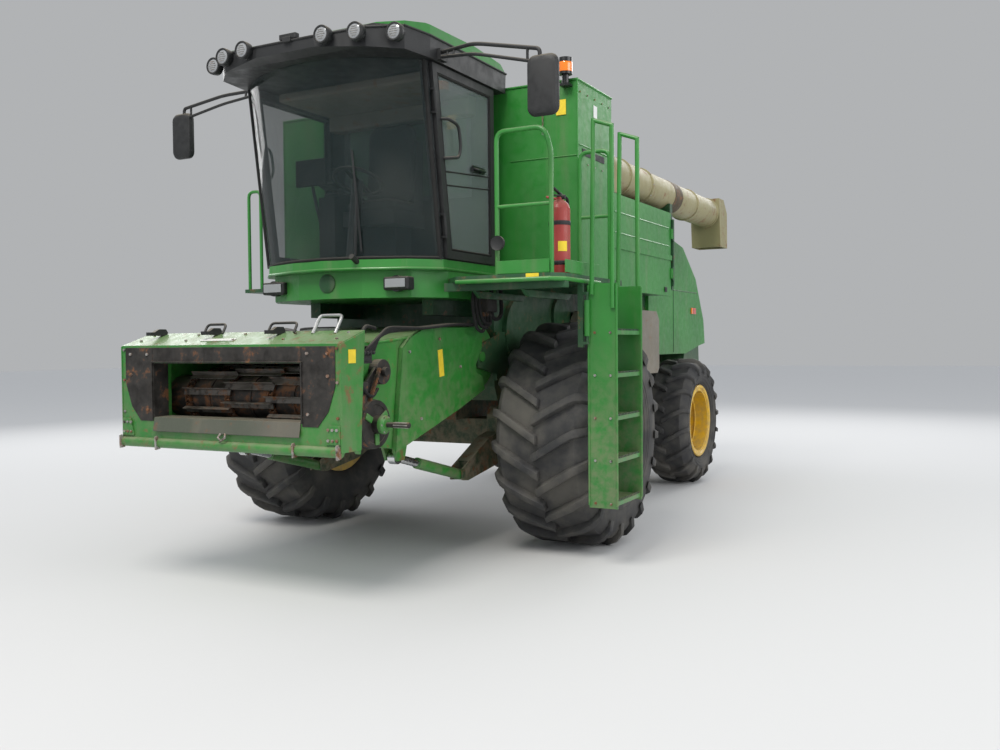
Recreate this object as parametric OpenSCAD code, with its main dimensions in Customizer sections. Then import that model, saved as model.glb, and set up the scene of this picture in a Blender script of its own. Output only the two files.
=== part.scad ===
// Combine harvester, self-propelled, built from separate named pieces.
// Millimetres. +X forward, +Y machine's left, +Z up, ground at Z = 0.
// Every module is drawn about the front axle and then moved forward by axle_x.

/* [Overall] */
// forward distance from the frame origin to the front axle
axle_x = 1470; // [1200:10:1800]
// distance between front and rear axles
wheelbase = 3750; // [3400:10:4200]
// half width of the threshing body and of the feeder house
body_hw = 800; // [650:5:850]
// half width of the grain tank and of the side shields
tank_hw = 1500; // [1300:10:1700]
// height of the grain tank's rim above ground
tank_top = 3750; // [3400:10:4000]

/* [Wheels] */
// front tyre radius to the lug tips
front_tyre_r = 915; // [800:5:1000]
// front tyre width
front_tyre_w = 800; // [520:10:900]
// front tyre bead seat radius
front_rim_r = 420; // [380:5:460]
// front track from centre plane to tyre centre
front_track = 1400; // [1200:10:1600]
// rear tyre radius to the lug tips
rear_tyre_r = 730; // [600:5:800]
// rear tyre width
rear_tyre_w = 540; // [350:10:600]
// rear tyre bead seat radius
rear_rim_r = 385; // [300:5:420]
// rear track from centre plane to tyre centre
rear_track = 1085; // [950:5:1250]
// front wheel shaft radius
front_shaft_r = 60; // [40:1:90]
// rear spindle radius
rear_shaft_r = 45; // [30:1:70]
// kingpin radius
kingpin_r = 30; // [20:1:45]
// kingpin distance from the centre plane
kingpin_y = 640; // [500:5:720]

/* [Feeder] */
// height of the feeder's hinge shaft above ground
feeder_hinge_z = 1550; // [1400:5:1700]
// forward distance of the feeder's hinge shaft from the front axle
feeder_hinge_x = 650; // [500:5:800]
// half width of the header mounting frame
header_hw = 950; // [850:5:1100]
// half width of the feeder mouth
mouth_hw = 650; // [500:5:750]
// header drive stub shaft radius
stub_r = 17.5; // [15:0.5:30]
// lift cylinder rod radius
lift_rod_r = 30; // [20:1:40]

/* [Cab] */
// half width of the cab
cab_hw = 840; // [700:5:950]
// height of the cab floor
cab_floor_z = 2280; // [2100:10:2400]
// height of the underside of the cab roof
cab_top_z = 3700; // [3500:10:3800]
// glass thickness
glass_t = 6; // [4:1:10]

/* [Unloading auger] */
// auger tube outer radius
auger_r = 165; // [120:5:200]
// auger tube axis height
auger_z = 3190; // [2900:10:3300]
// auger tube axis distance from the centre plane when folded
auger_y = 1290; // [1150:10:1500]
// rear end of the folded auger tube, behind the front axle
auger_end = 4200; // [2800:10:4400]

/* [Hidden] */
$fn = 48;
run_c = 0.05;
gap = 0.3;
deck_z = 2225;
body_top = 2190;
rail_in = 300;
rail_out = 400;
rail_z = 1010;
frame_rear = 4100;
sheet = 12;
rear_x = -wheelbase;
front_c = front_tyre_r;
rear_c = rear_tyre_r;
seat_w = front_tyre_w - 160;
lift_a = [800, 620];
lift_b = [1700, 850];
lift_dx = lift_b[0] - lift_a[0];
lift_dz = lift_b[1] - lift_a[1];
lift_len = sqrt(lift_dx * lift_dx + lift_dz * lift_dz);
lift_ang = atan2(lift_dz, lift_dx);
lift_y = 700;
pillar_x = 1200;
pillar_lean = 8.017;
door_hinge = [pillar_x + 15, cab_hw + 30, cab_floor_z + 10];
screen_r = 1136;
pivot_x = -760;

// basic shapes

// block between two corners
module box(x0, x1, y0, y1, z0, z1) {
  translate([x0, y0, z0])
    cube([x1 - x0, y1 - y0, z1 - z0]);
}

// side profile in X and Z, pushed from y0 to y1
module side(pts, y0, y1) {
  translate([0, y1, 0])
    rotate([90, 0, 0])
      linear_extrude(y1 - y0)
        polygon(pts);
}

// plan profile in X and Y, pushed from z0 to z1
module plan(pts, z0, z1) {
  translate([0, 0, z0])
    linear_extrude(z1 - z0)
      polygon(pts);
}

// cross profile in Y and Z, pushed from x0 to x1
module cross(pts, x0, x1) {
  translate([x0, 0, 0])
    rotate([90, 0, 90])
      linear_extrude(x1 - x0)
        polygon(pts);
}

// cylinder along Y
module cyl_y(x, z, y0, y1, r) {
  translate([x, y1, z])
    rotate([90, 0, 0])
      cylinder(h = y1 - y0, r = r);
}

// cylinder along X
module cyl_x(y, z, x0, x1, r) {
  translate([x0, y, z])
    rotate([0, 90, 0])
      cylinder(h = x1 - x0, r = r);
}

// cylinder along Z
module cyl_z(x, y, z0, z1, r) {
  translate([x, y, z0])
    cylinder(h = z1 - z0, r = r);
}

// round bar between two points
module bar(a, b, r) {
  d = b - a;
  n = norm(d);
  translate(a)
    rotate([0, acos(d[2] / n), atan2(d[1], d[0])])
      cylinder(h = n, r = r, $fn = 24);
}

// bent round rail through a list of points, each length running a radius past its bend
module rail(p, r) {
  for (i = [0 : len(p) - 2]) {
    d = (p[i + 1] - p[i]) / norm(p[i + 1] - p[i]);
    bar(p[i] - d * (i > 0 ? r * 0.6 : 0), p[i + 1], i % 2 == 0 ? r : r - 1.5);
  }
}

// the shape on the left and its mirror on the right
module both() {
  children();
  mirror([0, 1, 0])
    children();
}

// left side as drawn, right side mirrored
module hand(s) {
  if (s > 0)
    children();
  else
    mirror([0, 1, 0])
      children();
}

// chassis

module main_frame() {
  color("#3b3d3a")
    translate([axle_x, 0, 0]) {
      // two long rails, with the cross members seated between them
      both()
        box(-frame_rear, 330, rail_in, rail_out, rail_z, rail_z + 170);
      box(200, 330, -rail_in + gap, rail_in - gap, 1030, 1160);
      box(-1600, -1480, -rail_in + gap, rail_in - gap, 1030, 1160);
      box(-3880, -3620, -rail_in + gap, rail_in - gap, rail_z, 1160);
      box(-frame_rear, -frame_rear + 120, -rail_in + gap, rail_in - gap, 1030, 1160);
      // outriggers under the body
      both()
        for (x = [-700, -2750])
          box(x, x + 140, rail_out + gap, body_hw, 1040, 1180);
      // arms under the fuel tank
      for (x = [-2600, -2250])
        box(x, x + 80, -tank_hw + 100, -rail_out - gap, rail_z + 40, 1250 - gap);
      // towing block at the rear with its pin hole
      difference() {
        box(-frame_rear - 200, -frame_rear - gap, -120, 120, 1040, 1150);
        cyl_z(-frame_rear - 130, 0, 1000, 1200, 16);
      }
    }
}

module front_axle() {
  color("#3b3d3a")
    translate([axle_x, 0, 0]) {
      box(-150, 150, -640, 640, 790, 1010 - gap);
      both() {
        // final drive housing
        side([[-230, 800], [-180, 690], [180, 690], [230, 800], [230, 1060], [170, 1120], [-170, 1120],
          [-230, 1060]], 640, 950);
        cyl_y(0, front_c, 950, 968, 190);
        cyl_y(0, front_c, 968, 1245, front_shaft_r);
        // lift cylinder bracket
        difference() {
          side([[150, 700], [150, 930], [400, 880], [845, 670], [845, 580], [760, 570], [300, 640]], 640, 760);
          box(720, 900, 654, 746, 540, 720);
        }
        cyl_y(lift_a[0], lift_a[1], 640, 760, 20);
      }
    }
}

module rear_axle() {
  color("#3b3d3a")
    translate([axle_x, 0, 0]) {
      box(rear_x - 75, rear_x + 75, -520, 520, 650, 800);
      // centre pivot block
      box(rear_x - 110, rear_x + 110, -100, 100, 800, 1010 - gap);
      both() {
        box(rear_x - 75, rear_x + 75, 520, 550, 585, 875);
        box(rear_x - 60, rear_x + 60, 550, kingpin_y + 60, 835, 875);
        box(rear_x - 60, rear_x + 60, 550, kingpin_y + 60, 585, 625);
        cyl_z(rear_x, kingpin_y, 585, 890, kingpin_r);
      }
    }
}

// threshing and cleaning body

module separator_body() {
  color("#5f9a2f")
    translate([axle_x, 0, 0]) {
      side([[385, 1300], [385, 2050], [300, body_top], [-3290, body_top], [-3290, 1500], [-2950, 1500],
        [-2600, 1340], [-1700, 1180 + gap], [330, 1180 + gap]], -body_hw, body_hw);
      both() {
        // cab carriers
        box(380, 1000, 500, 600, 1880, 2000 - gap);
        // feeder bearing plate
        difference() {
          union() {
            side([[200, 1350], [200, 1750], [385, 1750], [385, 1350]], body_hw - 10, body_hw + 25);
            side([[380, 1400], [380, 1720], [680, 1640], [720, 1550], [680, 1460]], body_hw + 5, body_hw + 25);
          }
          cyl_y(feeder_hinge_x, feeder_hinge_z, body_hw, body_hw + 40, 40 + run_c);
        }
        // drum, beater and fan covers standing out of the side sheets
        cyl_y(-60, 1750, body_hw, body_hw + 40, 300);
        cyl_y(-900, 1900, body_hw, body_hw + 30, 180);
        cyl_y(-1500, 1450, body_hw, body_hw + 30, 210);
      }
    }
}

module elevator() {
  color("#5f9a2f")
    translate([axle_x, 0, 0])
      difference() {
        side([[-1850, 1010], [-1640, 930], [-1450, 1010], [-1000, 2050], [-1000, body_top], [-1260, body_top]],
          -1060, -body_hw - 30 - gap);
        cyl_y(-1650, 1090, -1100, -800, 25);
      }
}

module fuel_tank() {
  color("#3b3d3a")
    translate([axle_x, 0, 0])
      side([[-2750, 1300], [-2700, 1250], [-2050, 1250], [-2000, 1300], [-2000, 2050], [-2050, 2100],
        [-2700, 2100], [-2750, 2050]], -tank_hw + 60, -1075);
}

module tool_box() {
  color("#8a8272")
    translate([axle_x, 0, 0])
      side([[-1900, 1400], [-1850, 1350], [-1150, 1350], [-1100, 1400], [-1100, 1880], [-1180, 1960],
        [-1820, 1960], [-1900, 1880]], body_hw + 30 + gap, tank_hw - 60);
}

// grain tank, with a recess on each side, the left one for the auger elbow

module grain_tank() {
  color("#5f9a2f")
    translate([axle_x, 0, 0])
      difference() {
        union() {
          plan([[250, -tank_hw], [250, tank_hw], [-480, tank_hw], [-480, 1100], [-1300, 1100],
            [-1300, -1100], [-480, -1100], [-480, -tank_hw]], body_top + gap, tank_top);
          // hinge lugs of the lids
          both()
            for (x = [-1120, -995, -20, 105])
              box(x, x + 15, 1068, 1092, tank_top - 1, tank_top + 22);
          both()
            for (x = [-1120, -20])
              cyl_x(1080, tank_top + 14, x + 2, x + 138, 5);
        }
        // grain space, straight walls above and a hopper below
        box(-1285, 235, -1045, 1045, 2900, tank_top - 12);
        box(-465, 235, 1000, tank_hw - 15, 3100, tank_top - 12);
        box(-465, 235, -tank_hw + 15, -1000, 3100, tank_top - 12);
        cross([[-1045, 2901], [1045, 2901], [330, 2330], [-330, 2330]], -1285, 235);
        // filling opening under the lids
        box(-1250, 200, -1020, 1020, tank_top - 20, tank_top + 20);
      }
}

module tank_auger() {
  color("#7d7f80")
    translate([axle_x, 0, 0]) {
      // cross auger in the hopper floor, as a shaft with discs
      cyl_x(0, 2480, -1285 + gap, 235 - gap, 40);
      for (i = [0 : 9])
        cyl_x(0, 2480, -1240 + i * 155, -1228 + i * 155, 130);
    }
}

module auger_base() {
  color("#5f9a2f")
    translate([axle_x, 0, 0]) {
      cyl_z(pivot_x, auger_y, 2330, auger_z - 210 - gap, auger_r - 15);
      cyl_z(pivot_x, auger_y, 2800, 2830, auger_r - 5);
      box(-1290, -500, 1100 + gap, 1130, 2340, 2500);
      box(-1100, -500, 1120, 1200, 2340, 2420);
    }
}

module auger_tube() {
  color("#a9ab6b")
    translate([axle_x, 0, 0])
      difference() {
        union() {
          cyl_z(pivot_x, auger_y, auger_z - 210, auger_z, auger_r);
          cyl_z(pivot_x, auger_y, auger_z - 210, auger_z - 185, auger_r + 10);
          translate([pivot_x, auger_y, auger_z])
            sphere(r = auger_r);
          cyl_x(auger_y, auger_z, -auger_end, pivot_x, auger_r);
          cyl_x(auger_y, auger_z, -1730, -1670, auger_r + 8);
          // spout
          side([[-auger_end - 20, auger_z + 165], [-auger_end + 180, auger_z + 165],
            [-auger_end + 120, auger_z - 400], [-auger_end - 180, auger_z - 400],
            [-auger_end - 170, auger_z + 20]], auger_y - 175, auger_y + 175);
        }
        // open mouth of the spout
        side([[-auger_end - 10, auger_z + 20], [-auger_end + 120, auger_z + 20],
          [-auger_end + 100, auger_z - 420], [-auger_end - 160, auger_z - 420],
          [-auger_end - 155, auger_z + 10]], auger_y - 160, auger_y + 160);
      }
}

// lids over the tank's filling opening

module lid(s) {
  color("#8fae3a")
    translate([axle_x, 0, 0])
      hand(s) {
        difference() {
          union() {
            box(-1262, 212, 6, 1062, tank_top + 6, tank_top + 18);
            for (x = [-1100, 0])
              box(x, x + 100, 1060, 1080, tank_top + 6, tank_top + 18);
            for (x = [-1100, 0])
              cyl_x(1080, tank_top + 14, x, x + 100, 9);
          }
          for (x = [-1100, 0])
            cyl_x(1080, tank_top + 14, x - 1, x + 101, 5 + run_c);
        }
        box(-1245, 195, 6, 30, tank_top - 30, tank_top + 6);
        box(-900, -860, 30, 1040, tank_top + 18, tank_top + 48);
        box(-190, -150, 30, 1040, tank_top + 18, tank_top + 48);
      }
}

// engine bay and rear

module engine_deck() {
  color("#3b3d3a")
    translate([axle_x, 0, 0]) {
      box(-3290, -1310, -1060, 1060, body_top + gap, deck_z);
      both() {
        // arm and upright that carry the side shield's hinges
        box(-2200, -2160, 1060 + gap, tank_hw - 10, body_top + gap, deck_z);
        box(-2190, -2162, tank_hw - 60, tank_hw + 6, deck_z + gap, 2900);
        for (z = [2285, 2402, 2685, 2802])
          box(-2162 + gap, -2136, tank_hw - 8, tank_hw + 8, z, z + 13);
        for (z = [2285, 2685])
          cyl_z(-2146, tank_hw, z + 2, z + 128, 5);
      }
      // saddle post for the folded auger
      difference() {
        box(-2330, -2250, auger_y - 200, auger_y + 150, deck_z + gap, auger_z - auger_r + 50);
        cyl_x(auger_y, auger_z, -2400, -2200, auger_r + 4);
      }
      both()
        box(-2330, -2201, 1060 + gap, 1130, body_top + gap, deck_z);
    }
}

module engine() {
  color("#6f7274")
    translate([axle_x, 0, 0])
      box(-2900, -1750, -450, 450, deck_z + gap, 3060);
}

module engine_hood() {
  color("#5f9a2f")
    translate([axle_x, 0, 0])
      difference() {
        side([[-3290, deck_z + gap], [-3290, 3000], [-3180, 3240], [-1400, 3330], [-1312, 3330], [-1312, deck_z + gap]],
          -1050, 980);
        side([[-3278, 2200], [-3278, 2990], [-3172, 3228], [-1400, 3318], [-1324, 3318], [-1324, 2200]],
          -1038, 968);
        // radiator screen opening on the right
        cyl_y(-2300, 2780, -1100, -1000, 420);
      }
}

module exhaust() {
  color("#55504a")
    translate([axle_x, 0, 0])
      difference() {
        union() {
          cyl_z(-2850, 300, 3260, 3640, 60);
          cyl_z(-2850, 300, 3640, 3800, 48);
        }
        cyl_z(-2850, 300, 3300, 3900, 40);
      }
}

module straw_hood() {
  color("#5f9a2f")
    translate([axle_x, 0, 0])
      difference() {
        side([[-3290 - gap, 1510], [-3290 - gap, 2190], [-3290 - gap, 2980], [-3600, 3000], [-4600, 2850], [-5150, 2480],
          [-5500, 1950], [-5560, 1640], [-5300, 1610], [-4700, 1510]], -body_hw - 40, body_hw + 40);
        side([[-3304, 1480], [-3304, 2968], [-3600, 2988], [-4594, 2838], [-5140, 2472], [-5488, 1945],
          [-5540, 1600], [-5300, 1550], [-4700, 1480]], -body_hw - 28, body_hw + 28);
      }
}

module chopper() {
  color("#3b3d3a")
    translate([axle_x, 0, 0]) {
      side([[-4720, 1200], [-4640, 1400], [-4720, 1640], [-5290, 1700], [-5330, 1300], [-5100, 1150]],
        -body_hw - 28 + gap, body_hw + 28 - gap);
      side([[-5300, 1330], [-5300, 1400], [-5620, 1280], [-5600, 1220]], -body_hw - 40, body_hw + 40);
    }
}

// side shields

module shield(s) {
  color("#8fae3a")
    translate([axle_x, 0, 0])
      hand(s) {
        difference() {
          union() {
            box(-2130, -500, tank_hw - 30, tank_hw - 12, 2120, 2960);
            for (z = [2300, 2700])
              box(-2146, -2110, tank_hw - 30, tank_hw, z, z + 100);
            for (z = [2300, 2700])
              cyl_z(-2146, tank_hw, z, z + 100, 9);
          }
          for (z = [2300, 2700])
            cyl_z(-2146, tank_hw, z - 1, z + 101, 5 + run_c);
        }
        box(-2130, -500, tank_hw - 45, tank_hw - 30, 2930, 2960);
        box(-2130, -500, tank_hw - 45, tank_hw - 30, 2120, 2150);
        box(-2130, -500, tank_hw - 12, tank_hw, 2480, 2530);
      }
}

// cab

module cab_floor() {
  color("#5f9a2f")
    translate([axle_x, 0, 0]) {
      plan([[410, -cab_hw], [1235, -cab_hw], [1440, -650], [1580, -300], [1620, 0], [1580, 300], [1440, 650],
        [1235, cab_hw], [410, cab_hw]], 2200, cab_floor_z);
      plan([[400, -cab_hw + 10], [1150, -cab_hw + 10], [1380, -650], [1510, -300], [1545, 0], [1510, 300],
        [1380, 650], [1150, cab_hw - 10], [400, cab_hw - 10]], 2000, 2201);
    }
}

module cab_frame() {
  color("#2b2d2c")
    translate([axle_x, 0, 0]) {
      difference() {
        union() {
          // front pillars lean forward
          both()
            side([[pillar_x - 30, cab_floor_z + gap], [pillar_x + 30, cab_floor_z + gap],
              [pillar_x + 230, cab_top_z], [pillar_x + 170, cab_top_z]], cab_hw - 70, cab_hw - 10);
          both()
            box(420, 490, cab_hw - 70, cab_hw - 10, cab_floor_z + gap, cab_top_z);
          both()
            box(480, pillar_x + 180, cab_hw - 70, cab_hw - 10, cab_top_z - 70, cab_top_z);
          box(420, 450, -cab_hw + 60, cab_hw - 60, cab_floor_z + gap, cab_top_z);
          // lower wall on the right
          box(480, pillar_x - 20, -cab_hw + 10, -cab_hw + 40, cab_floor_z + gap, cab_floor_z + 90);
          // door hinge lugs and pins along the leaning pillar
          translate(door_hinge)
            rotate([0, pillar_lean, 0])
              for (h = [150, 1050]) {
                for (k = [h, h + 165])
                  box(-4, 11, -45, 0, k, k + 15);
                for (k = [h, h + 165])
                  cyl_z(0, 0, k, k + 15, 11);
                cyl_z(0, 0, h + 2, h + 178, 8);
              }
        }
        // rear window
        box(400, 500, -600, 600, 2900, 3560);
      }
    }
}

module cab_roof() {
  color("#5f9a2f")
    translate([axle_x, 0, 0])
      intersection() {
        side([[300, cab_top_z + gap], [290, 3860], [380, 3920], [800, 3950], [1500, 3935], [1850, 3870],
          [1990, 3800], [1985, 3730], [1900, cab_top_z + gap]], -1000, 1000);
        plan([[280, -880], [1450, -880], [1720, -840], [1900, -640], [1990, -250], [1990, 250], [1900, 640],
          [1720, 840], [1450, 880], [280, 880]], 3600, 4000);
      }
}

module windscreen() {
  color("#25303a")
    translate([axle_x, 0, 0])
      intersection() {
        translate([pillar_x - 743.5, 0, cab_floor_z])
          rotate([0, pillar_lean, 0])
            difference() {
              translate([0, 0, -300])
                cylinder(h = 2100, r = screen_r, $fn = 240);
              translate([0, 0, -310])
                cylinder(h = 2130, r = screen_r - glass_t, $fn = 240);
            }
        side([[pillar_x + 30.6, cab_floor_z + gap], [pillar_x + 230.6, cab_top_z - gap],
          [2200, cab_top_z - gap], [2200, cab_floor_z + gap]], -cab_hw, cab_hw);
      }
}

module cab_glass() {
  color("#25303a")
    translate([axle_x, 0, 0]) {
      // right side pane
      side([[491, cab_floor_z + 90 + gap], [pillar_x - 20, cab_floor_z + 90 + gap],
        [pillar_x + 156, cab_top_z - 71], [491, cab_top_z - 71]], -cab_hw + 20, -cab_hw + 20 + glass_t);
      // rear pane
      box(450 + gap, 456 + gap, -640, 640, 2860, 3600);
    }
}

module seat() {
  color("#2b2d2c")
    translate([axle_x, 0, 0]) {
      box(620, 860, -160, 160, cab_floor_z + gap, cab_floor_z + 331);
      box(560, 1010, -250, 250, cab_floor_z + 330, cab_floor_z + 450);
      side([[560, cab_floor_z + 450], [690, cab_floor_z + 450], [640, 3330], [540, 3330]], -230, 230);
    }
}

module controls() {
  color("#2b2d2c")
    translate([axle_x, 0, 0]) {
      // steering column leaning back, with its wheel
      cyl_z(1240, 0, cab_floor_z + gap, cab_floor_z + 40, 70);
      bar([1238, 0, cab_floor_z + 20], [1140, 0, 2940], 45);
      translate([1140, 0, 2940])
        rotate([0, -25, 0])
          rotate_extrude($fn = 48)
            translate([190, 0])
              circle(r = 14, $fn = 16);
      translate([1140, 0, 2940])
        rotate([0, -25, 0])
          translate([-190, -20, -8])
            cube([380, 40, 16]);
      box(560, 1050, -460, -300, cab_floor_z + gap, 2860);
    }
}

// door hinged on the left front pillar

module cab_door() {
  color("#2b2d2c")
    translate([axle_x, 0, 0])
      difference() {
        union() {
          side([[470, cab_floor_z + 10], [pillar_x + 4, cab_floor_z + 10], [pillar_x + 200, cab_top_z - 10],
            [470, cab_top_z - 10]], cab_hw - 8, cab_hw + 22);
          translate(door_hinge)
            rotate([0, pillar_lean, 0])
              for (h = [170, 1070]) {
                box(-40, -2, -20, 0, h, h + 140);
                cyl_z(0, 0, h, h + 140, 13);
              }
        }
        side([[530, cab_floor_z + 70], [pillar_x - 48, cab_floor_z + 70], [pillar_x + 130, cab_top_z - 70],
          [530, cab_top_z - 70]], cab_hw - 20, cab_hw + 40);
        translate(door_hinge)
          rotate([0, pillar_lean, 0])
            for (h = [170, 1070])
              cyl_z(0, 0, h - 1, h + 141, 8 + run_c);
      }
}

module door_glass() {
  color("#25303a")
    translate([axle_x, 0, 0])
      side([[530 + gap, cab_floor_z + 70 + gap], [pillar_x - 48.5, cab_floor_z + 70 + gap],
        [pillar_x + 129, cab_top_z - 70 - gap], [530 + gap, cab_top_z - 70 - gap]], cab_hw + 4, cab_hw + 4 + glass_t);
}

// platform, rails and ladder

module platform() {
  color("#3b3d3a")
    translate([axle_x, 0, 0]) {
      plan([[250 + gap, cab_hw - 10 + gap], [1150, cab_hw - 10 + gap], [1330, 1000], [1330, 1760], [1250, 1830],
        [250 + gap, 1830]], 2100, 2140);
      box(250 + gap, 330, cab_hw + 12, 1830, 2040, 2101);
      box(1180, 1250, cab_hw + 12, 1830, 2040, 2101);
      // post, lugs and pin of the ladder's hinge
      box(885, 915, 1780, 1820, 1620, 2101);
      for (z = [1640, 2000]) {
        box(887, 913, 1815, 1848, z, z + 20);
        cyl_z(900, 1848, z, z + 20, 15);
      }
      cyl_z(900, 1848, 1642, 2018, 10);
      // narrow service step on the right of the cab
      box(700, 1150, -1180, -cab_hw + 10 - gap, 2100, 2130);
    }
}

module handrails() {
  color("#2f302e")
    translate([axle_x, 0, 0]) {
      // front guard with rounded outer corner
      rail([[1300, 1330, 2140 + gap], [1300, 1330, 3150], [1300, 1700, 3150], [1300, 1755, 3000],
        [1300, 1755, 2140 + gap]], 17);
      bar([1300, 1330, 2620], [1300, 1755, 2620], 14);
      // rail beside the tank
      rail([[300, 1790, 2140 + gap], [300, 1790, 3150], [300, 1540, 3150], [300, 1540, 2140 + gap]], 17);
      bar([300, 1540, 2640], [300, 1790, 2640], 14);
      // grab handle on the right
      rail([[1120, -1150, 2130 + gap], [1120, -1150, 2950], [1120, -1020, 2950], [1120, -1020, 2130 + gap]], 14);
    }
}

module extinguisher() {
  color("#b3261e")
    translate([axle_x, 0, 0]) {
      cyl_z(1130, 1740, 2140 + gap, 2600, 75);
      cyl_z(1130, 1740, 2599, 2680, 25);
      bar([1130, 1740, 2665], [1130, 1640, 2690], 9);
    }
}

module ladder() {
  color("#2f302e")
    translate([axle_x, 0, 0])
      difference() {
        union() {
          for (x = [370, 870])
            box(x, x + 12, 1850, 2070, 450, 2080);
          for (i = [0 : 4])
            box(381, 871, 1860, 2060, 470 + i * 310, 500 + i * 310);
          // loop rails
          rail([[364, 2040, 1900], [364, 2040, 3200], [364, 1900, 3250], [364, 1880, 2000]], 17);
          rail([[888, 2040, 1900], [888, 2040, 3200], [888, 1900, 3250], [888, 1880, 2000]], 17);
          // hinge barrel
          box(876, 900, 1852, 1868, 1700, 1960);
          cyl_z(900, 1848, 1700, 1960, 21);
        }
        cyl_z(900, 1848, 1690, 1970, 10 + run_c);
      }
}

module mirror_arm(base, knee, head) {
  box(base[0] - 60, base[0] + 40, cab_hw + 40 + gap, cab_hw + 70, base[2] - 60, base[2] + 20);
  rail([base, knee, head + [0, 0, 240]], 14);
  rail([base - [-20, 0, 40], knee - [0, 0, 70], head + [0, 0, 150]], 12);
  box(head[0] - 30, head[0] + 30, head[1] - 90, head[1] + 130, head[2] - 200, head[2] + 200);
}

module mirrors() {
  color("#2b2d2c")
    translate([axle_x, 0, 0]) {
      mirror_arm([1320, cab_hw + 55, 3770], [1560, 1300, 3710], [1620, 1830, 3340]);
      mirror([0, 1, 0])
        mirror_arm([1200, cab_hw + 55, 3770], [1140, 1400, 3790], [1060, 1940, 3520]);
    }
}

module lamps() {
  color("#c9ccd0")
    translate([axle_x, 0, 0]) {
      both() {
        cyl_x(580, 2100, 1428 + gap, 1480, 60);
        // sideways place and back face of each roof lamp
        for (p = [[360, 1979.5], [600, 1924], [830, 1785.5]])
          cyl_x(p[0], 3790, p[1], p[1] + 50, 62);
      }
      // beacon on a bracket at the tank's front corner
      box(250 + gap, 330, 1380, 1460, tank_top - 60, tank_top - 40);
      cyl_z(300, 1420, tank_top - 41, tank_top + 31, 30);
      cyl_z(300, 1420, tank_top + 30, tank_top + 160, 55);
    }
}

// wheels; drawn for the left side

module tyre(y, z, r, w, seat_r) {
  h = w / 2;
  s = h - 82;
  translate([0, y, z])
    rotate([90, 0, 0])
      rotate_extrude($fn = 96)
        polygon([[seat_r, -s], [seat_r + 40, -s - 2], [seat_r + 52, -s - 26], [seat_r + 130, -h + 12],
          [(seat_r + r) / 2, -h], [r - 90, -h + 14], [r - 25, -h + 60], [r, -h + 120], [r, h - 120],
          [r - 25, h - 60], [r - 90, h - 14], [(seat_r + r) / 2, h], [seat_r + 130, h - 12],
          [seat_r + 52, s + 26], [seat_r + 40, s + 2], [seat_r, s]]);
}

module wheel_rim(y, z, w, seat_r, shaft_r, boss_y0, boss_y1, disc_y) {
  s = w / 2 - 82;
  difference() {
    union() {
      translate([0, y, z])
        rotate([90, 0, 0])
          rotate_extrude($fn = 96)
            polygon([[seat_r - 34, -s - 20], [seat_r + 34, -s - 20], [seat_r + 34, -s - 5], [seat_r - gap, -s - 5],
              [seat_r - gap, s + 5], [seat_r + 34, s + 5], [seat_r + 34, s + 20], [seat_r - 34, s + 20]]);
      cyl_y(0, z, disc_y - 12, disc_y + 12, seat_r - 30);
      cyl_y(0, z, boss_y0, boss_y1, shaft_r + 80);
    }
    cyl_y(0, z, boss_y0 - 1, boss_y1 + 1, shaft_r + run_c);
    // hand holes in the disc
    for (a = [0 : 45 : 315])
      translate([sin(a) * (seat_r - 120), 0, z + cos(a) * (seat_r - 120)])
        rotate([90, 0, 0])
          translate([0, 0, -disc_y - 50])
            cylinder(h = 100, r = 38, $fn = 24);
  }
}

module front_tyre(s) {
  color("#26272a")
    translate([axle_x, 0, 0])
      hand(s)
        tyre(front_track, front_c, front_tyre_r, front_tyre_w, front_rim_r);
}

module front_rim(s) {
  color("#d9b21c")
    translate([axle_x, 0, 0])
      hand(s)
        wheel_rim(front_track, front_c, front_tyre_w, front_rim_r, front_shaft_r, 975, 1250, 1215);
}

module rear_tyre(s) {
  color("#26272a")
    translate([axle_x + rear_x, 0, 0])
      hand(s)
        tyre(rear_track, rear_c, rear_tyre_r, rear_tyre_w, rear_rim_r);
}

module rear_rim(s) {
  color("#d9b21c")
    translate([axle_x + rear_x, 0, 0])
      hand(s)
        wheel_rim(rear_track, rear_c, rear_tyre_w, rear_rim_r, rear_shaft_r, 835, 1080, 1060);
}

module knuckle(s) {
  color("#3b3d3a")
    translate([axle_x + rear_x, 0, 0])
      hand(s)
        difference() {
          union() {
            cyl_z(0, kingpin_y, 630, 830, 60);
            cyl_y(0, rear_c, kingpin_y, 820, 70);
            cyl_y(0, rear_c, 820, 1085, rear_shaft_r);
            // steering arm
            box(-230, 0, kingpin_y - 45, kingpin_y - 5, 690, 730);
            cyl_z(-230, kingpin_y - 25, 690, 730, 35);
          }
          cyl_z(0, kingpin_y, 600, 900, kingpin_r + run_c);
        }
}

module tie_rod() {
  color("#7d7f80")
    translate([axle_x + rear_x, 0, 0])
      union() {
        cyl_y(-230, 762, -kingpin_y + 40, kingpin_y - 40, 20);
        both() {
          cyl_z(-230, kingpin_y - 25, 737, 783, 32);
          cyl_z(-230, kingpin_y - 25, 730 + gap, 738, 14);
        }
      }
}

// feeder

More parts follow.
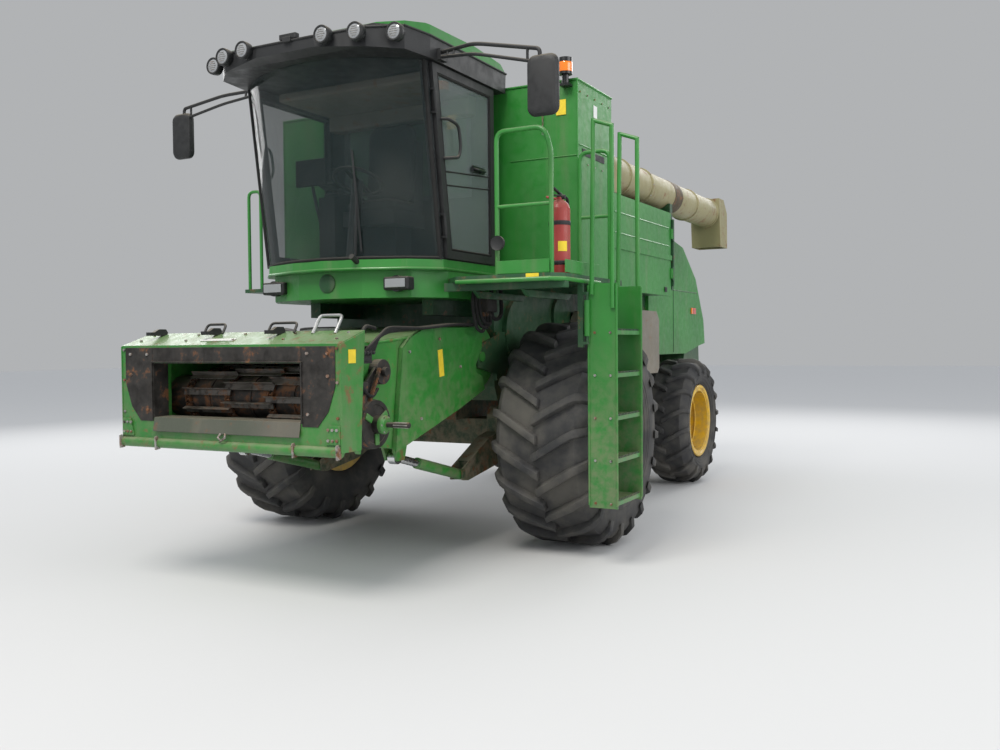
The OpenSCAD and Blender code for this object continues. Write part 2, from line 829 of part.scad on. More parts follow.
module feeder_house() {
  color("#5f9a2f")
    translate([axle_x, 0, 0])
      difference() {
        union() {
          side([[650, 1800], [2480, 1640], [2480, 1030], [1850, 930], [650, 1300]], -body_hw, body_hw);
          cyl_y(feeder_hinge_x, feeder_hinge_z, -body_hw, body_hw, 250);
          cyl_y(feeder_hinge_x, feeder_hinge_z, -body_hw - 40, body_hw + 40, 40);
          // lugs for the lift cylinders
          both() {
            side([[1600, 1016], [1800, 954], [1745, 830], [1655, 830]], lift_y - 56, lift_y - 36);
            side([[1600, 1016], [1800, 954], [1745, 830], [1655, 830]], lift_y + 36, lift_y + 56);
            cyl_y(lift_b[0], lift_b[1], lift_y - 56, lift_y + 56, 20);
          }
        }
        side([[600, 1785], [2500, 1619], [2500, 1052], [1848, 948], [600, 1332]], -body_hw + 15, body_hw - 15);
        cyl_y(feeder_hinge_x, feeder_hinge_z, -body_hw + 15, body_hw - 15, 235);
        // rear opening towards the threshing drum
        box(300, 560, -body_hw + 15, body_hw - 15, 1400, 1700);
      }
}

module feeder_frame() {
  color("#5f9a2f")
    translate([axle_x, 0, 0]) {
      difference() {
        union() {
          box(2480 + gap, 2640, -header_hw, header_hw, 990, 1660);
          // sloping top plate
          side([[2380, 1745], [2640, 1660], [2640, 1640], [2480 + gap, 1640], [2480 + gap, 1690], [2380, 1722]],
            -header_hw, header_hw);
          both()
            side([[2380, 1722], [2480 + gap, 1690], [2480 + gap, 1000], [2440, 960]], body_hw + 110, header_hw);
        }
        box(2400, 2700, -mouth_hw, mouth_hw, 1160, 1540);
        // recesses behind the face
        box(2470, 2625, -header_hw + 20, -mouth_hw - 60, 1020, 1630);
        box(2470, 2625, mouth_hw + 60, header_hw - 20, 1020, 1630);
        box(2470, 2625, -mouth_hw, mouth_hw, 1020, 1120);
      }
      cyl_y(2640, 990, -header_hw, header_hw, 34);
    }
}

module feed_drum() {
  color("#6b4a35")
    translate([axle_x, 0, 0]) {
      cyl_y(2240, 1290, -body_hw + 15 + gap, body_hw - 15 - gap, 150);
      cyl_y(760, 1550, -body_hw + 15 + gap, body_hw - 15 - gap, 110);
      // chain strands, upper and lower runs
      for (y = [-560, -190, 190, 560]) {
        side([[760, 1650], [2240, 1430], [2240, 1462], [760, 1682]], y - 20, y + 20);
        side([[760, 1450], [2240, 1150], [2240, 1118], [760, 1418]], y - 20, y + 20);
      }
    }
}

module feeder_drive() {
  color("#5b4636")
    translate([axle_x, 0, 0]) {
      cyl_y(2200, 1130, body_hw + gap, 1160, stub_r);
      cyl_y(2200, 1130, body_hw + 20, body_hw + 95, 155);
      cyl_y(2200, 1130, body_hw + 95, body_hw + 150, 60);
    }
}

// lift cylinders, drawn along +X from the lower pin and then tilted

module lift_barrel(s) {
  color("#2b2d2c")
    translate([axle_x, 0, 0])
      translate([lift_a[0], s * lift_y, lift_a[1]])
            rotate([0, -lift_ang, 0])
            difference() {
              union() {
                cyl_y(0, 0, -34, 34, 42);
                cyl_x(0, 0, 0, 635, 42);
              }
              cyl_y(0, 0, -50, 50, 20 + run_c);
              cyl_x(0, 0, 62, 700, lift_rod_r + run_c);
            }
}

module lift_rod(s) {
  color("#b9bcc0")
    translate([axle_x, 0, 0])
      translate([lift_a[0], s * lift_y, lift_a[1]])
            rotate([0, -lift_ang, 0])
            difference() {
              union() {
                cyl_x(0, 0, lift_len - 620, lift_len - 40, lift_rod_r);
                cyl_y(lift_len, 0, -30, 30, 48);
              }
              cyl_y(lift_len, 0, -50, 50, 33);
            }
}

main_frame();
front_axle();
rear_axle();
separator_body();
grain_tank();
tank_auger();
engine();
engine_deck();
engine_hood();
exhaust();
straw_hood();
chopper();
cab_floor();
cab_frame();
cab_roof();
windscreen();
cab_glass();
seat();
controls();
platform();
handrails();
extinguisher();
mirrors();
lamps();
elevator();
fuel_tank();
tool_box();
auger_base();
auger_tube();
front_tyre(1);  // front_tyre_left
front_tyre(-1);  // front_tyre_right
front_rim(1);  // front_rim_left
front_rim(-1);  // front_rim_right
rear_tyre(1);  // rear_tyre_left
rear_tyre(-1);  // rear_tyre_right
rear_rim(1);  // rear_rim_left
rear_rim(-1);  // rear_rim_right
knuckle(1);  // knuckle_left
knuckle(-1);  // knuckle_right
tie_rod();
feeder_house();
feeder_frame();
feed_drum();
feeder_drive();
lift_barrel(1);  // lift_barrel_left
lift_barrel(-1);  // lift_barrel_right
lift_rod(1);  // lift_rod_left
lift_rod(-1);  // lift_rod_right
ladder();
cab_door();
door_glass();
lid(1);  // lid_left
lid(-1);  // lid_right
shield(1);  // shield_left
shield(-1);  // shield_right
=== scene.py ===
# Combine harvester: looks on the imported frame. Metres, +X forward, +Y machine's left, +Z up.
from math import cos, pi, radians, sin, sqrt, tau
from types import SimpleNamespace

import bpy
import bmesh
from mathutils import Vector, Matrix


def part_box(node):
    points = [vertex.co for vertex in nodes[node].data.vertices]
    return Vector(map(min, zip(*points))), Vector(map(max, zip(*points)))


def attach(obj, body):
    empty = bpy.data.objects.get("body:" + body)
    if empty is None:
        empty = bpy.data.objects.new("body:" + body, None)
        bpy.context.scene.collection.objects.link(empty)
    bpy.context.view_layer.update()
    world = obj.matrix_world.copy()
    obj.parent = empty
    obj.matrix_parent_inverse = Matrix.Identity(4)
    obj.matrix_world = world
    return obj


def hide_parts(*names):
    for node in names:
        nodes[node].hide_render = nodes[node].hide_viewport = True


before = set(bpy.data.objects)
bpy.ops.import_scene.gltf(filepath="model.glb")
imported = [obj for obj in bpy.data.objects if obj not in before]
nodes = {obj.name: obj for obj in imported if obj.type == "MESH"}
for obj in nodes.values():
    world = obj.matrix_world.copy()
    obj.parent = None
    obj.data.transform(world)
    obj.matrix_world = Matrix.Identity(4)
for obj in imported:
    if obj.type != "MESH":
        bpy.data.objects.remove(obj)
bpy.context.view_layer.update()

X, Y, Z = (1, 0, 0), (0, 1, 0), (0, 0, 1)
SIDES = ((1, "left"), (-1, "right"))

# Main places, taken from the frame. Every length below is measured from the front axle.
tyre_lo, tyre_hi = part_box("front_tyre_left")
AXLE_X = (tyre_lo[0] + tyre_hi[0]) / 2
FRONT_R = (tyre_hi[2] - tyre_lo[2]) / 2
rear_lo, rear_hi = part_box("rear_tyre_left")
REAR_X = (rear_lo[0] + rear_hi[0]) / 2 - AXLE_X
REAR_R = (rear_hi[2] - rear_lo[2]) / 2
TANK_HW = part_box("grain_tank")[1][1]


# Meshes

BOX_FACES = [(0, 1, 3, 2), (4, 6, 7, 5), (0, 4, 5, 1), (2, 3, 7, 6), (0, 2, 6, 4), (1, 5, 7, 3)]


def add_object(name, data):
    ob = bpy.data.objects.new(name, data)
    bpy.context.scene.collection.objects.link(ob)
    return ob


def frame_of(direction):
    """Two unit vectors square to a direction."""
    d = Vector(direction).normalized()
    side = Vector(Z) if abs(d.z) < 0.9 else Vector(X)
    u = d.cross(side).normalized()
    return u, d.cross(u).normalized()


def circle(centre, u, w, r, seg):
    """Points of a circle in the plane of two unit vectors."""
    return [centre + (u * cos(tau * k / seg) + w * sin(tau * k / seg)) * r for k in range(seg)]


def spread(count, r, centre, turn=0.0):
    """Places on a circle square to Y, each with its direction from the centre."""
    for i in range(count):
        a = tau * i / count + turn
        yield (centre[0] + r * cos(a), centre[1], centre[2] + r * sin(a)), (cos(a), 0, sin(a))


class Shape:
    """Collects simple solids, placed from the front axle, into one mesh."""

    def __init__(self):
        self.v = []
        self.f = []

    def add(self, verts, faces):
        n = len(self.v)
        self.v += [tuple(p) for p in verts]
        self.f += [tuple(i + n for i in f) for f in faces]
        return self

    def box(self, x0, x1, y0, y1, z0, z1):
        return self.add([(x, y, z) for x in (x0, x1) for y in (y0, y1) for z in (z0, z1)], BOX_FACES)

    def slab(self, centre, size, axis_u=X, axis_v=Y):
        """Box of a size about a centre, turned so that its first two sides follow two vectors."""
        u = Vector(axis_u).normalized()
        w = u.cross(Vector(axis_v)).normalized()
        v = w.cross(u)
        ends = (-0.5, 0.5)
        return self.add([Vector(centre) + u * a * size[0] + v * b * size[1] + w * d * size[2]
            for a in ends for b in ends for d in ends], BOX_FACES)

    def stack(self, layers, closed=False):
        """Solid through rings of equally many points: its ends are capped, or joined if it is closed."""
        n, count = len(layers[0]), len(layers)
        v = [p for layer in layers for p in layer]
        f = []
        for j in range(count if closed else count - 1):
            k = (j + 1) % count
            f += [(j * n + i, j * n + (i + 1) % n, k * n + (i + 1) % n, k * n + i) for i in range(n)]
        if not closed:
            f += [tuple(range(n))[::-1], tuple(range(len(v) - n, len(v)))]
        return self.add(v, f)

    def prism(self, pts, axis, a, b):
        """Outline in the YZ plane pushed along X, or one in the XZ plane pushed along Y, from a to b."""
        return self.stack([[(t, u, v) if axis == X else (u, t, v) for u, v in pts] for t in (a, b)])

    def cyl(self, p, q, r, seg=20):
        """Closed cylinder from p to q."""
        return self.tube([p, q], r, seg)

    def tube(self, pts, r, seg=8, closed=False):
        """Round bar along a list of points, mitred at the bends."""
        pts = [Vector(p) for p in pts]
        n = len(pts)
        rings = []
        u = None
        for i, p in enumerate(pts):
            a = (p - pts[i - 1]).normalized() if (i > 0 or closed) else None
            b = (pts[(i + 1) % n] - p).normalized() if (i < n - 1 or closed) else None
            t = (a + b).normalized() if a and b else (a or b)
            u = frame_of(t)[0] if u is None else u
            u = (u - t * u.dot(t)).normalized()
            rings.append(circle(p, u, t.cross(u), r, seg))
        return self.stack(rings, closed)

    def bent(self, pts, r, radius, steps=4, seg=10):
        """Round bar along a list of points, with its bends rounded."""
        pts = [Vector(p) for p in pts]
        out = [pts[0]]
        for a, p, b in zip(pts, pts[1:], pts[2:]):
            cut = min(radius, 0.45 * (p - a).length, 0.45 * (b - p).length)
            start = p + (a - p).normalized() * cut
            end = p + (b - p).normalized() * cut
            for i in range(steps + 1):
                t = i / steps
                out.append(start * (1 - t) ** 2 + p * (2 * t * (1 - t)) + end * t ** 2)
        return self.tube(out + [pts[-1]], r, seg)

    def lathe(self, profile, centre, axis=Y, seg=36, start=0.0, way=1):
        """Profile of (radius, distance) turned about an axis. Distances count from start, along way."""
        u, w = frame_of(axis)
        d = Vector(axis).normalized()
        n = len(profile)
        v = []
        for i in range(seg):
            a = tau * i / seg
            s = u * cos(a) + w * sin(a)
            v += [Vector(centre) + s * r + d * (start + way * t) for r, t in profile]
        return self.add(v, [(i * n + k, i * n + k + 1, (i + 1) % seg * n + k + 1, (i + 1) % seg * n + k)
            for i in range(seg) for k in range(n - 1)])

    def bolts(self, places, normal, r=0.01, h=0.008):
        """Six-sided bolt heads on a face."""
        d = Vector(normal).normalized()
        for p in places:
            self.cyl(Vector(p) - d * 0.002, Vector(p) + d * h, r, 6)
        return self

    def make(self, name, mat, body="chassis", bevel=0.0, smooth=False, replaces=(), slot=None):
        """Mesh of everything so far, as one piece of a body."""
        me = bpy.data.meshes.new(name)
        me.from_pydata([(x + AXLE_X, y, z) for x, y, z in self.v], [], self.f)
        me.validate()
        bm = bmesh.new()
        bm.from_mesh(me)
        bmesh.ops.recalc_face_normals(bm, faces=bm.faces)
        bm.to_mesh(me)
        bm.free()
        me.materials.append(mat)
        ob = add_object(name, me)
        finish_mesh(ob, bevel, smooth)
        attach(ob, body)
        if replaces:
            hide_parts(*replaces)
        return ob

    def smooth(self, name, mat, body="chassis", **more):
        """The same as make, with round faces shaded smooth."""
        return self.make(name, mat, body, smooth=True, **more)


def finish_mesh(ob, bevel, smooth=False):
    """Rounds the edges a little and shades round faces smooth."""
    if bevel:
        b = ob.modifiers.new("edge", "BEVEL")
        b.width = bevel
        b.segments = 2
        b.limit_method = "ANGLE"
        b.angle_limit = radians(40)
    if smooth:
        for p in ob.data.polygons:
            p.use_smooth = True
        ob.modifiers.new("sharp", "EDGE_SPLIT").split_angle = radians(35)


# Materials


class Nodes:
    """Short way to build a shader tree. An input takes a value or another node's output."""

    def __init__(self, owner, main="Principled BSDF"):
        owner.use_nodes = True
        self.owner = owner
        self.tree = owner.node_tree
        self.main = self.tree.nodes[main]

    def feed(self, node, values):
        for key, value in values.items():
            socket = node.inputs[key]
            if isinstance(value, bpy.types.NodeSocket):
                self.tree.links.new(value, socket)
            else:
                socket.default_value = (*value, 1.0) if socket.type == "RGBA" else value

    def new(self, kind, values=None, **settings):
        """Makes a node and gives its outputs."""
        node = self.tree.nodes.new("ShaderNode" + kind)
        for key, value in settings.items():
            setattr(node, key, value)
        self.feed(node, values or {})
        return node.outputs

    def noise(self, scale, detail=5.0, rough=0.55, stretch=None):
        place = self.new("TexCoord")["Object"]
        if stretch:
            place = self.new("Mapping", {"Vector": place, "Scale": stretch})[0]
        values = {"Vector": place, "Scale": scale, "Detail": detail, "Roughness": rough}
        return self.new("TexNoise", values)["Fac"]

    def ramp(self, fac, lo, hi, low=0.0, high=1.0):
        """Smooth step of a value from lo to hi."""
        ends = {"Value": fac, "From Min": lo, "From Max": hi, "To Min": low, "To Max": high}
        return self.new("MapRange", ends, interpolation_type="SMOOTHSTEP")["Result"]

    def times(self, a, b):
        return self.new("Math", {0: a, 1: b}, operation="MULTIPLY")[0]

    def mix(self, fac, a, b):
        return self.new("Mix", {0: fac, 6: a, 7: b}, data_type="RGBA")[2]

    def facing_up(self):
        """1 on faces that look up, where dust settles."""
        normal = self.new("NewGeometry")["Normal"]
        return self.ramp(self.new("SeparateXYZ", {0: normal})["Z"], 0.25, 0.95)

    def height(self, low, high):
        """1 below low, 0 above high, in metres above ground."""
        place = self.new("TexCoord")["Object"]
        return self.ramp(self.new("SeparateXYZ", {0: place})["Z"], low, high, 1.0, 0.0)

    def dusted(self, colour, amount, fine=None):
        """Dust on the faces that look up, in patches where a fine noise is given."""
        up = self.facing_up()
        if fine:
            up = self.times(up, self.ramp(fine, 0.3, 0.62, 0.68, 1.0))
        return self.mix(self.times(up, amount), colour, DUST)

    def finish(self, colour, rough, relief=None, strength=0.0, depth=0.0, others=None):
        """Feeds the main shader, with a relief where its strength is not 0."""
        self.feed(self.main, {"Base Color": colour, "Roughness": rough, **(others or {})})
        if strength:
            bump = self.new("Bump", {"Strength": strength, "Distance": depth, "Height": relief})
            self.feed(self.main, {"Normal": bump[0]})
        return self.owner


DUST = (0.36, 0.31, 0.23)
RUST = (0.2, 0.085, 0.035)
OLD_DIRT = (0.2, 0.17, 0.12)
LOW_DIRT = (0.25, 0.2, 0.14)
GREASE = (0.05, 0.045, 0.04)
FILM = (0.42, 0.4, 0.34)
CLAY = (0.21, 0.19, 0.155)


def nodes_for(name):
    return Nodes(bpy.data.materials.new(name))


def paint(name, colour, shade, rough=0.32, dust=0.55, rust=0.0, low_dirt=0.0, coat=0.25):
    """Painted sheet metal: two shades of the colour, settled dust, dirt low down and rust spots."""
    n = nodes_for(name)
    fine = n.noise(14.0, 8.0, 0.65)
    body = n.dusted(n.mix(n.ramp(n.noise(1.3, 4.0), 0.35, 0.68), colour, shade), dust, fine)
    streak = n.ramp(n.noise(6.0, 6.0, 0.6, (1.0, 1.0, 0.16)), 0.5, 0.76)
    body = n.mix(n.times(streak, 0.2 + dust * 0.25), body, OLD_DIRT)
    if low_dirt:
        low = n.times(n.height(0.7, 1.9), n.ramp(fine, 0.32, 0.66))
        body = n.mix(n.times(low, low_dirt), body, LOW_DIRT)
    if rust:
        spot = n.ramp(n.noise(9.0, 9.0, 0.7), 0.6 - 0.16 * rust, 0.7 - 0.12 * rust)
        body = n.mix(n.times(spot, min(1.0, 0.5 + rust)), body, RUST)
    return n.finish(body, n.ramp(fine, 0.3, 0.7, rough, min(0.9, rough + 0.28)), fine, 0.04, 0.002,
        {"Coat Weight": coat, "Coat Roughness": 0.18})


def plain(name, colour, rough=0.5, metallic=0.0, vary=0.25, dust=0.2, bump=0.05, scale=18.0):
    """Plain material with a little variation and dust."""
    n = nodes_for(name)
    f = n.noise(scale, 7.0, 0.6)
    body = n.mix(n.ramp(f, 0.35, 0.65), tuple(c * (1 - vary) for c in colour), colour)
    rough = n.ramp(f, 0.3, 0.7, rough, min(1.0, rough + 0.2))
    return n.finish(n.dusted(body, dust), rough, f, bump, 0.003, {"Metallic": metallic})


def two_tone(name, low, high, edge):
    """Dark plastic below a height and green paint above it, for the cab's roof."""
    n = nodes_for(name)
    f = n.noise(9.0, 7.0, 0.6)
    upper = n.dusted(n.mix(n.ramp(f, 0.35, 0.68), high, tuple(c * 1.25 for c in high)), 0.34, f)
    body = n.mix(n.height(edge - 0.001, edge + 0.001), upper, low)
    return n.finish(body, n.ramp(f, 0.3, 0.7, 0.35, 0.6), f, 0.04, 0.002)


def rusty(name, metal, amount, rough=0.55):
    """Bare metal with rust and grease."""
    n = nodes_for(name)
    f = n.noise(7.0, 9.0, 0.68)
    body = n.mix(n.ramp(f, 0.55 - amount * 0.3, 0.66 - amount * 0.2), metal, RUST)
    body = n.dusted(n.mix(n.ramp(n.noise(21.0, 6.0), 0.48, 0.7), body, GREASE), 0.4)
    return n.finish(body, n.ramp(f, 0.35, 0.65, rough - 0.15, rough + 0.3), f, 0.25, 0.004,
        {"Metallic": n.ramp(f, 0.35, 0.62, 0.75, 0.2)})


def glass(name, colour, alpha, rough, dirt):
    """Tinted pane with a film of dust."""
    n = nodes_for(name)
    f = n.noise(2.2, 1.5, 0.4)
    body = n.mix(n.ramp(f, 0.42, 0.75, 0.0, dirt), colour, FILM)
    see = n.ramp(f, 0.42, 0.8, alpha, min(1.0, alpha + dirt * 0.6))
    return n.finish(body, n.ramp(f, 0.42, 0.8, rough, rough + 0.12), others={"IOR": 1.5, "Alpha": see})


def tyre_rubber(name):
    """Worn rubber in two greys, with large patches of pale dust."""
    n = nodes_for(name)
    f = n.noise(9.0, 8.0, 0.65)
    body = n.mix(n.ramp(f, 0.35, 0.68), (0.03, 0.03, 0.032), (0.062, 0.06, 0.056))
    body = n.mix(n.times(n.ramp(n.noise(2.2, 5.0, 0.6), 0.42, 0.66), 0.3), body, CLAY)
    return n.finish(body, n.ramp(f, 0.3, 0.7, 0.62, 0.88), f, 0.18, 0.004)


def lens(name, colour, metallic=0.0):
    """Clear or coloured lamp lens."""
    return nodes_for(name).finish(colour, 0.12, others={"Metallic": metallic, "Coat Weight": 1.0})


# The paints and other finishes

ROOF_JOINT_Z = 3.862
GREEN = paint("green", (0.02, 0.185, 0.024), (0.03, 0.225, 0.032), 0.3, 0.4, 0.0, 0.45)
GREEN_WORN = paint("green_worn", (0.022, 0.185, 0.024), (0.036, 0.225, 0.034), 0.34, 0.42, 0.26, 0.3)
GREEN_DARK = paint("green_dark", (0.01, 0.06, 0.02), (0.016, 0.085, 0.028), 0.42, 0.5, 0.25, 0.4)
FRAME_DARK = paint("frame_dark", (0.018, 0.055, 0.022), (0.03, 0.07, 0.03), 0.55, 0.65, 0.55, 0.9, 0.0)
YELLOW = paint("yellow", (0.8, 0.5, 0.015), (0.7, 0.42, 0.012), 0.34, 0.25, 0.12, 0.45)
BLACK = plain("black_plastic", (0.02, 0.021, 0.022), 0.48, 0.0, 0.3, 0.35)
BLACK_GLOSS = plain("black_gloss", (0.012, 0.013, 0.014), 0.22, 0.0, 0.2, 0.25, 0.02)
SEAL = plain("rubber_seal", (0.012, 0.012, 0.012), 0.75, 0.0, 0.2, 0.15)
TYRE = tyre_rubber("tyre_rubber")
TUBE = paint("tube_paint", (0.25, 0.225, 0.11), (0.31, 0.28, 0.15), 0.5, 0.55, 0.35, 0.0, 0.05)
TUBE_BAND = paint("tube_band", (0.06, 0.045, 0.025), (0.09, 0.065, 0.035), 0.6, 0.4, 0.6, 0.0, 0.0)
STEEL = rusty("worn_steel", (0.42, 0.41, 0.39), 0.35)
IRON = rusty("rusty_iron", (0.16, 0.13, 0.11), 0.75, 0.7)
GRIME = rusty("greasy_plate", (0.04, 0.037, 0.034), 0.02, 0.6)
STEEL_DUSTY = paint("scraped_steel", (0.075, 0.085, 0.06), (0.13, 0.12, 0.095), 0.42, 0.3, 0.15, 0.0, 0.1)
DRUM_DARK = rusty("drum_dark", (0.055, 0.05, 0.045), 0.3, 0.6)
SLAT = rusty("slat_steel", (0.15, 0.14, 0.125), 0.15, 0.55)
ROOF = two_tone("roof_two_tone", (0.022, 0.023, 0.024), (0.022, 0.165, 0.026), ROOF_JOINT_Z)
CHROME = plain("bright_rod", (0.72, 0.73, 0.75), 0.12, 1.0, 0.05, 0.1, 0.0)
ALU = plain("aluminium", (0.55, 0.56, 0.57), 0.38, 1.0, 0.15, 0.25)
GREY = paint("grey_box", (0.17, 0.155, 0.125), (0.22, 0.2, 0.165), 0.6, 0.5, 0.25, 0.2, 0.0)
RED = paint("red", (0.42, 0.05, 0.04), (0.34, 0.035, 0.028), 0.42, 0.35, 0.1)
WHITE = plain("white_label", (0.72, 0.73, 0.7), 0.5, 0.0, 0.08, 0.2)
YELLOW_LABEL = plain("yellow_label", (0.82, 0.6, 0.03), 0.5, 0.0, 0.1, 0.2)
SCREEN_GLASS = glass("screen_glass", (0.026, 0.042, 0.042), 0.27, 0.02, 0.07)
SIDE_GLASS = glass("side_glass", (0.2, 0.24, 0.23), 0.36, 0.02, 0.12)
LENS = lens("clear_lens", (0.36, 0.37, 0.38), 0.35)
ORANGE = lens("orange_lens", (0.85, 0.2, 0.01))
RED_LENS = lens("red_lens", (0.55, 0.02, 0.01))
MIRROR = plain("mirror_face", (0.7, 0.72, 0.74), 0.04, 1.0, 0.02, 0.05, 0.0)
FABRIC = plain("seat_fabric", (0.03, 0.032, 0.034), 0.9, 0.0, 0.4, 0.1, 0.3, 60.0)

# Finish of each imported piece
LOOKS = {
    FRAME_DARK: "main_frame front_axle rear_axle knuckle_left knuckle_right",
    GREEN_DARK: "separator_body engine_deck chopper platform elevator auger_base lid_left lid_right",
    GREEN: "grain_tank engine_hood straw_hood cab_floor handrails lift_barrel_left lift_barrel_right ladder "
           "shield_left shield_right",
    GREEN_WORN: "feeder_house feeder_frame",
    BLACK: "cab_frame controls mirrors fuel_tank cab_door",
    BLACK_GLOSS: "lamps",
    STEEL: "tank_auger tie_rod",
    IRON: "engine exhaust",
    ROOF: "cab_roof",
    SCREEN_GLASS: "windscreen",
    SIDE_GLASS: "cab_glass door_glass",
    FABRIC: "seat",
    RED: "extinguisher",
    GREY: "tool_box",
    TUBE: "auger_tube",
    TYRE: "front_tyre_left front_tyre_right rear_tyre_left rear_tyre_right",
    YELLOW: "front_rim_left front_rim_right rear_rim_left rear_rim_right",
    DRUM_DARK: "feed_drum",
    GRIME: "feeder_drive",
    CHROME: "lift_rod_left lift_rod_right",
}
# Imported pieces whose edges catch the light, by the rounding in metres
ROUNDED = {
    0.003: "platform",
    0.004: "lid_left lid_right auger_tube",
    0.006: "feeder_house feeder_frame shield_left shield_right main_frame cab_frame cab_door",
    0.008: "chopper",
    0.01: "front_axle elevator",
    0.012: "separator_body mirrors",
    0.014: "grain_tank",
    0.016: "cab_floor",
    0.02: "engine_hood straw_hood",
    0.03: "cab_roof tool_box fuel_tank engine",
    0.04: "seat",
}
for finish, names in LOOKS.items():
    for name in names.split():
        nodes[name].data.materials.clear()
        nodes[name].data.materials.append(finish)
for rounding, names in ROUNDED.items():
    for name in names.split():
        finish_mesh(nodes[name], rounding)


# Camera at the photograph's place and angle: focal length in pixels of a 1000 pixel wide frame

PHOTO_W = 1000.0
FOCAL_PX = 970.1
HEADING = radians(180 + 28.11)
PITCH = radians(-1.80)
ROLL = radians(-0.52)
EYE = Vector((7.407 + AXLE_X, 4.604, 1.645))


def make_camera():
    up = Vector(Z)
    d = Vector((cos(HEADING), sin(HEADING), 0))
    right = Vector((d.y, -d.x, 0))
    look = d * cos(PITCH) + up * sin(PITCH)
    top = up * cos(PITCH) - d * sin(PITCH)
    right_r = right * cos(ROLL) + top * sin(ROLL)
    top_r = top * cos(ROLL) - right * sin(ROLL)
    data = bpy.data.cameras.new("camera")
    data.sensor_width = 36.0
    data.lens = FOCAL_PX * data.sensor_width / PHOTO_W
    data.clip_end = 200.0
    cam = add_object("camera", data)
    cam.matrix_world = Matrix.Translation(EYE) @ Matrix((right_r, top_r, -look)).transposed().to_4x4()
    bpy.context.scene.camera = cam


make_camera()


# Floor, light and world


def area(name, place, aim, size, power, colour=(1, 1, 1)):
    """Rectangular light that looks at a place."""
    d = bpy.data.lights.new(name, "AREA")
    d.shape = "RECTANGLE"
    d.size, d.size_y = size
    d.energy = power
    d.color = colour
    o = add_object(name, d)
    o.location = place
    o.rotation_euler = (Vector(aim) - Vector(place)).to_track_quat("-Z", "Y").to_euler()


def make_stage():
    half = 60.0
    me = bpy.data.meshes.new("floor")
    corners = [(half * x, half * y, 0) for x, y in ((-1, -1), (1, -1), (1, 1), (-1, 1))]
    me.from_pydata(corners, [], [(0, 1, 2, 3)])
    me.materials.append(nodes_for("floor").finish((0.57, 0.567, 0.56), 0.9))
    add_object("floor", me)
    middle = (0, 0, 1.5)
    area("key", (9.0, 1.0, 11.0), middle, (5.0, 5.0), 1000, (1.0, 0.97, 0.92))
    area("left_fill", (2.0, 12.0, 6.0), middle, (9.0, 5.0), 480)
    area("right_fill", (-3.0, -12.0, 7.0), middle, (9.0, 5.0), 480)
    area("rear", (-12.0, 2.0, 8.0), (-2, 0, 1.5), (7.0, 5.0), 520)
    world = bpy.data.worlds.new("world")
    bpy.context.scene.world = world
    sky = Nodes(world, "Background")
    sky.feed(sky.main, {"Color": (0.84, 0.88, 0.94), "Strength": 0.88})
    # the backdrop that the camera, gloss and glass see, as bright as the floor far away
    backdrop = sky.new("Background", {"Color": (0.44, 0.45, 0.46), "Strength": 1.0})
    ray = sky.new("LightPath")
    seen = ray["Is Camera Ray"]
    for other in ("Is Glossy Ray", "Is Transmission Ray"):
        seen = sky.new("Math", {0: seen, 1: ray[other]}, operation="ADD", use_clamp=True)[0]
    both = sky.new("MixShader", {0: seen, 1: sky.main.outputs[0], 2: backdrop[0]})
    sky.feed(sky.tree.nodes["World Output"], {"Surface": both[0]})
    bpy.context.scene.view_settings.view_transform = "Standard"


make_stage()


# Tyres: casing and staggered lugs, in place of the plain packed tyres

# Seat is the bead's radius, track half the track; lug, wide and lead are a lug's height, width and slant;
# disc and boss are the rim's outer faces
FRONT = SimpleNamespace(name="front", x=0.0, radius=FRONT_R, width=0.8, seat=0.42, track=1.4,
    lugs=20, lug=0.052, wide=0.066, lead=0.23, disc=1.227, boss=1.25, boss_r=0.14, studs=10, stud_r=0.17)
REAR = SimpleNamespace(name="rear", x=REAR_X, radius=REAR_R, width=0.54, seat=0.385, track=1.085,
    lugs=18, lug=0.04, wide=0.052, lead=0.15, disc=1.072, boss=1.085, boss_r=0.125, studs=8, stud_r=0.15)


def value_at(table, place):
    """Value at a place, from a table of (place, value)."""
    for (p0, v0), (p1, v1) in zip(table, table[1:]):
        if place <= p1:
            return v0 + (v1 - v0) * (place - p0) / (p1 - p0)
    return table[-1][1]


def casing(half, seat, tread):
    """Half profile of the casing, from the bead to the tread's middle, as (radius, distance)."""
    return [(seat, half - 0.082), (seat + 0.04, half - 0.08), (seat + 0.052, half - 0.056),
        (seat + 0.085, half - 0.034), (seat + 0.14, half - 0.014), (tread - 0.09, half - 0.022),
        (tread - 0.045, half - 0.052), (tread - 0.012, half - 0.09), (tread, 0.0)]


def lug(s, axle, y, half, tread, row, angle):
    """One lug: it runs back from the tread's centre to the shoulder and straightens there."""
    lead, radius = axle.lead, axle.radius
    bends = [(lead * 0.55, -half * 0.05), (lead * 0.12, half * 0.38), (-lead * 0.25, half * 0.76),
        (-lead * 0.38, half)]
    line = [(a0 + (a1 - a0) * k / 3, b0 + (b1 - b0) * k / 3)
        for (a0, b0), (a1, b1) in zip(bends, bends[1:]) for k in range(3)] + bends[-1:]
    crown = [(0, radius), (half - 0.13, radius), (half - 0.06, radius - 0.03), (half, radius - 0.1)]
    base = [(0, tread), (half - 0.09, tread - 0.012), (half - 0.022, tread - 0.09), (half, tread - 0.12)]
    layers = []
    for ahead, across in line:
        top = value_at(crown, abs(across))
        low = value_at(base, abs(across)) - 0.02
        angles = [angle + (ahead + w * axle.wide) / tread for w in (0.66, 0.45, -0.45, -0.66)]
        layers.append([(axle.x + sin(a) * r, y + row * across, radius + cos(a) * r)
            for r, a in zip((low, top, top, low), angles)])
    s.stack(layers)


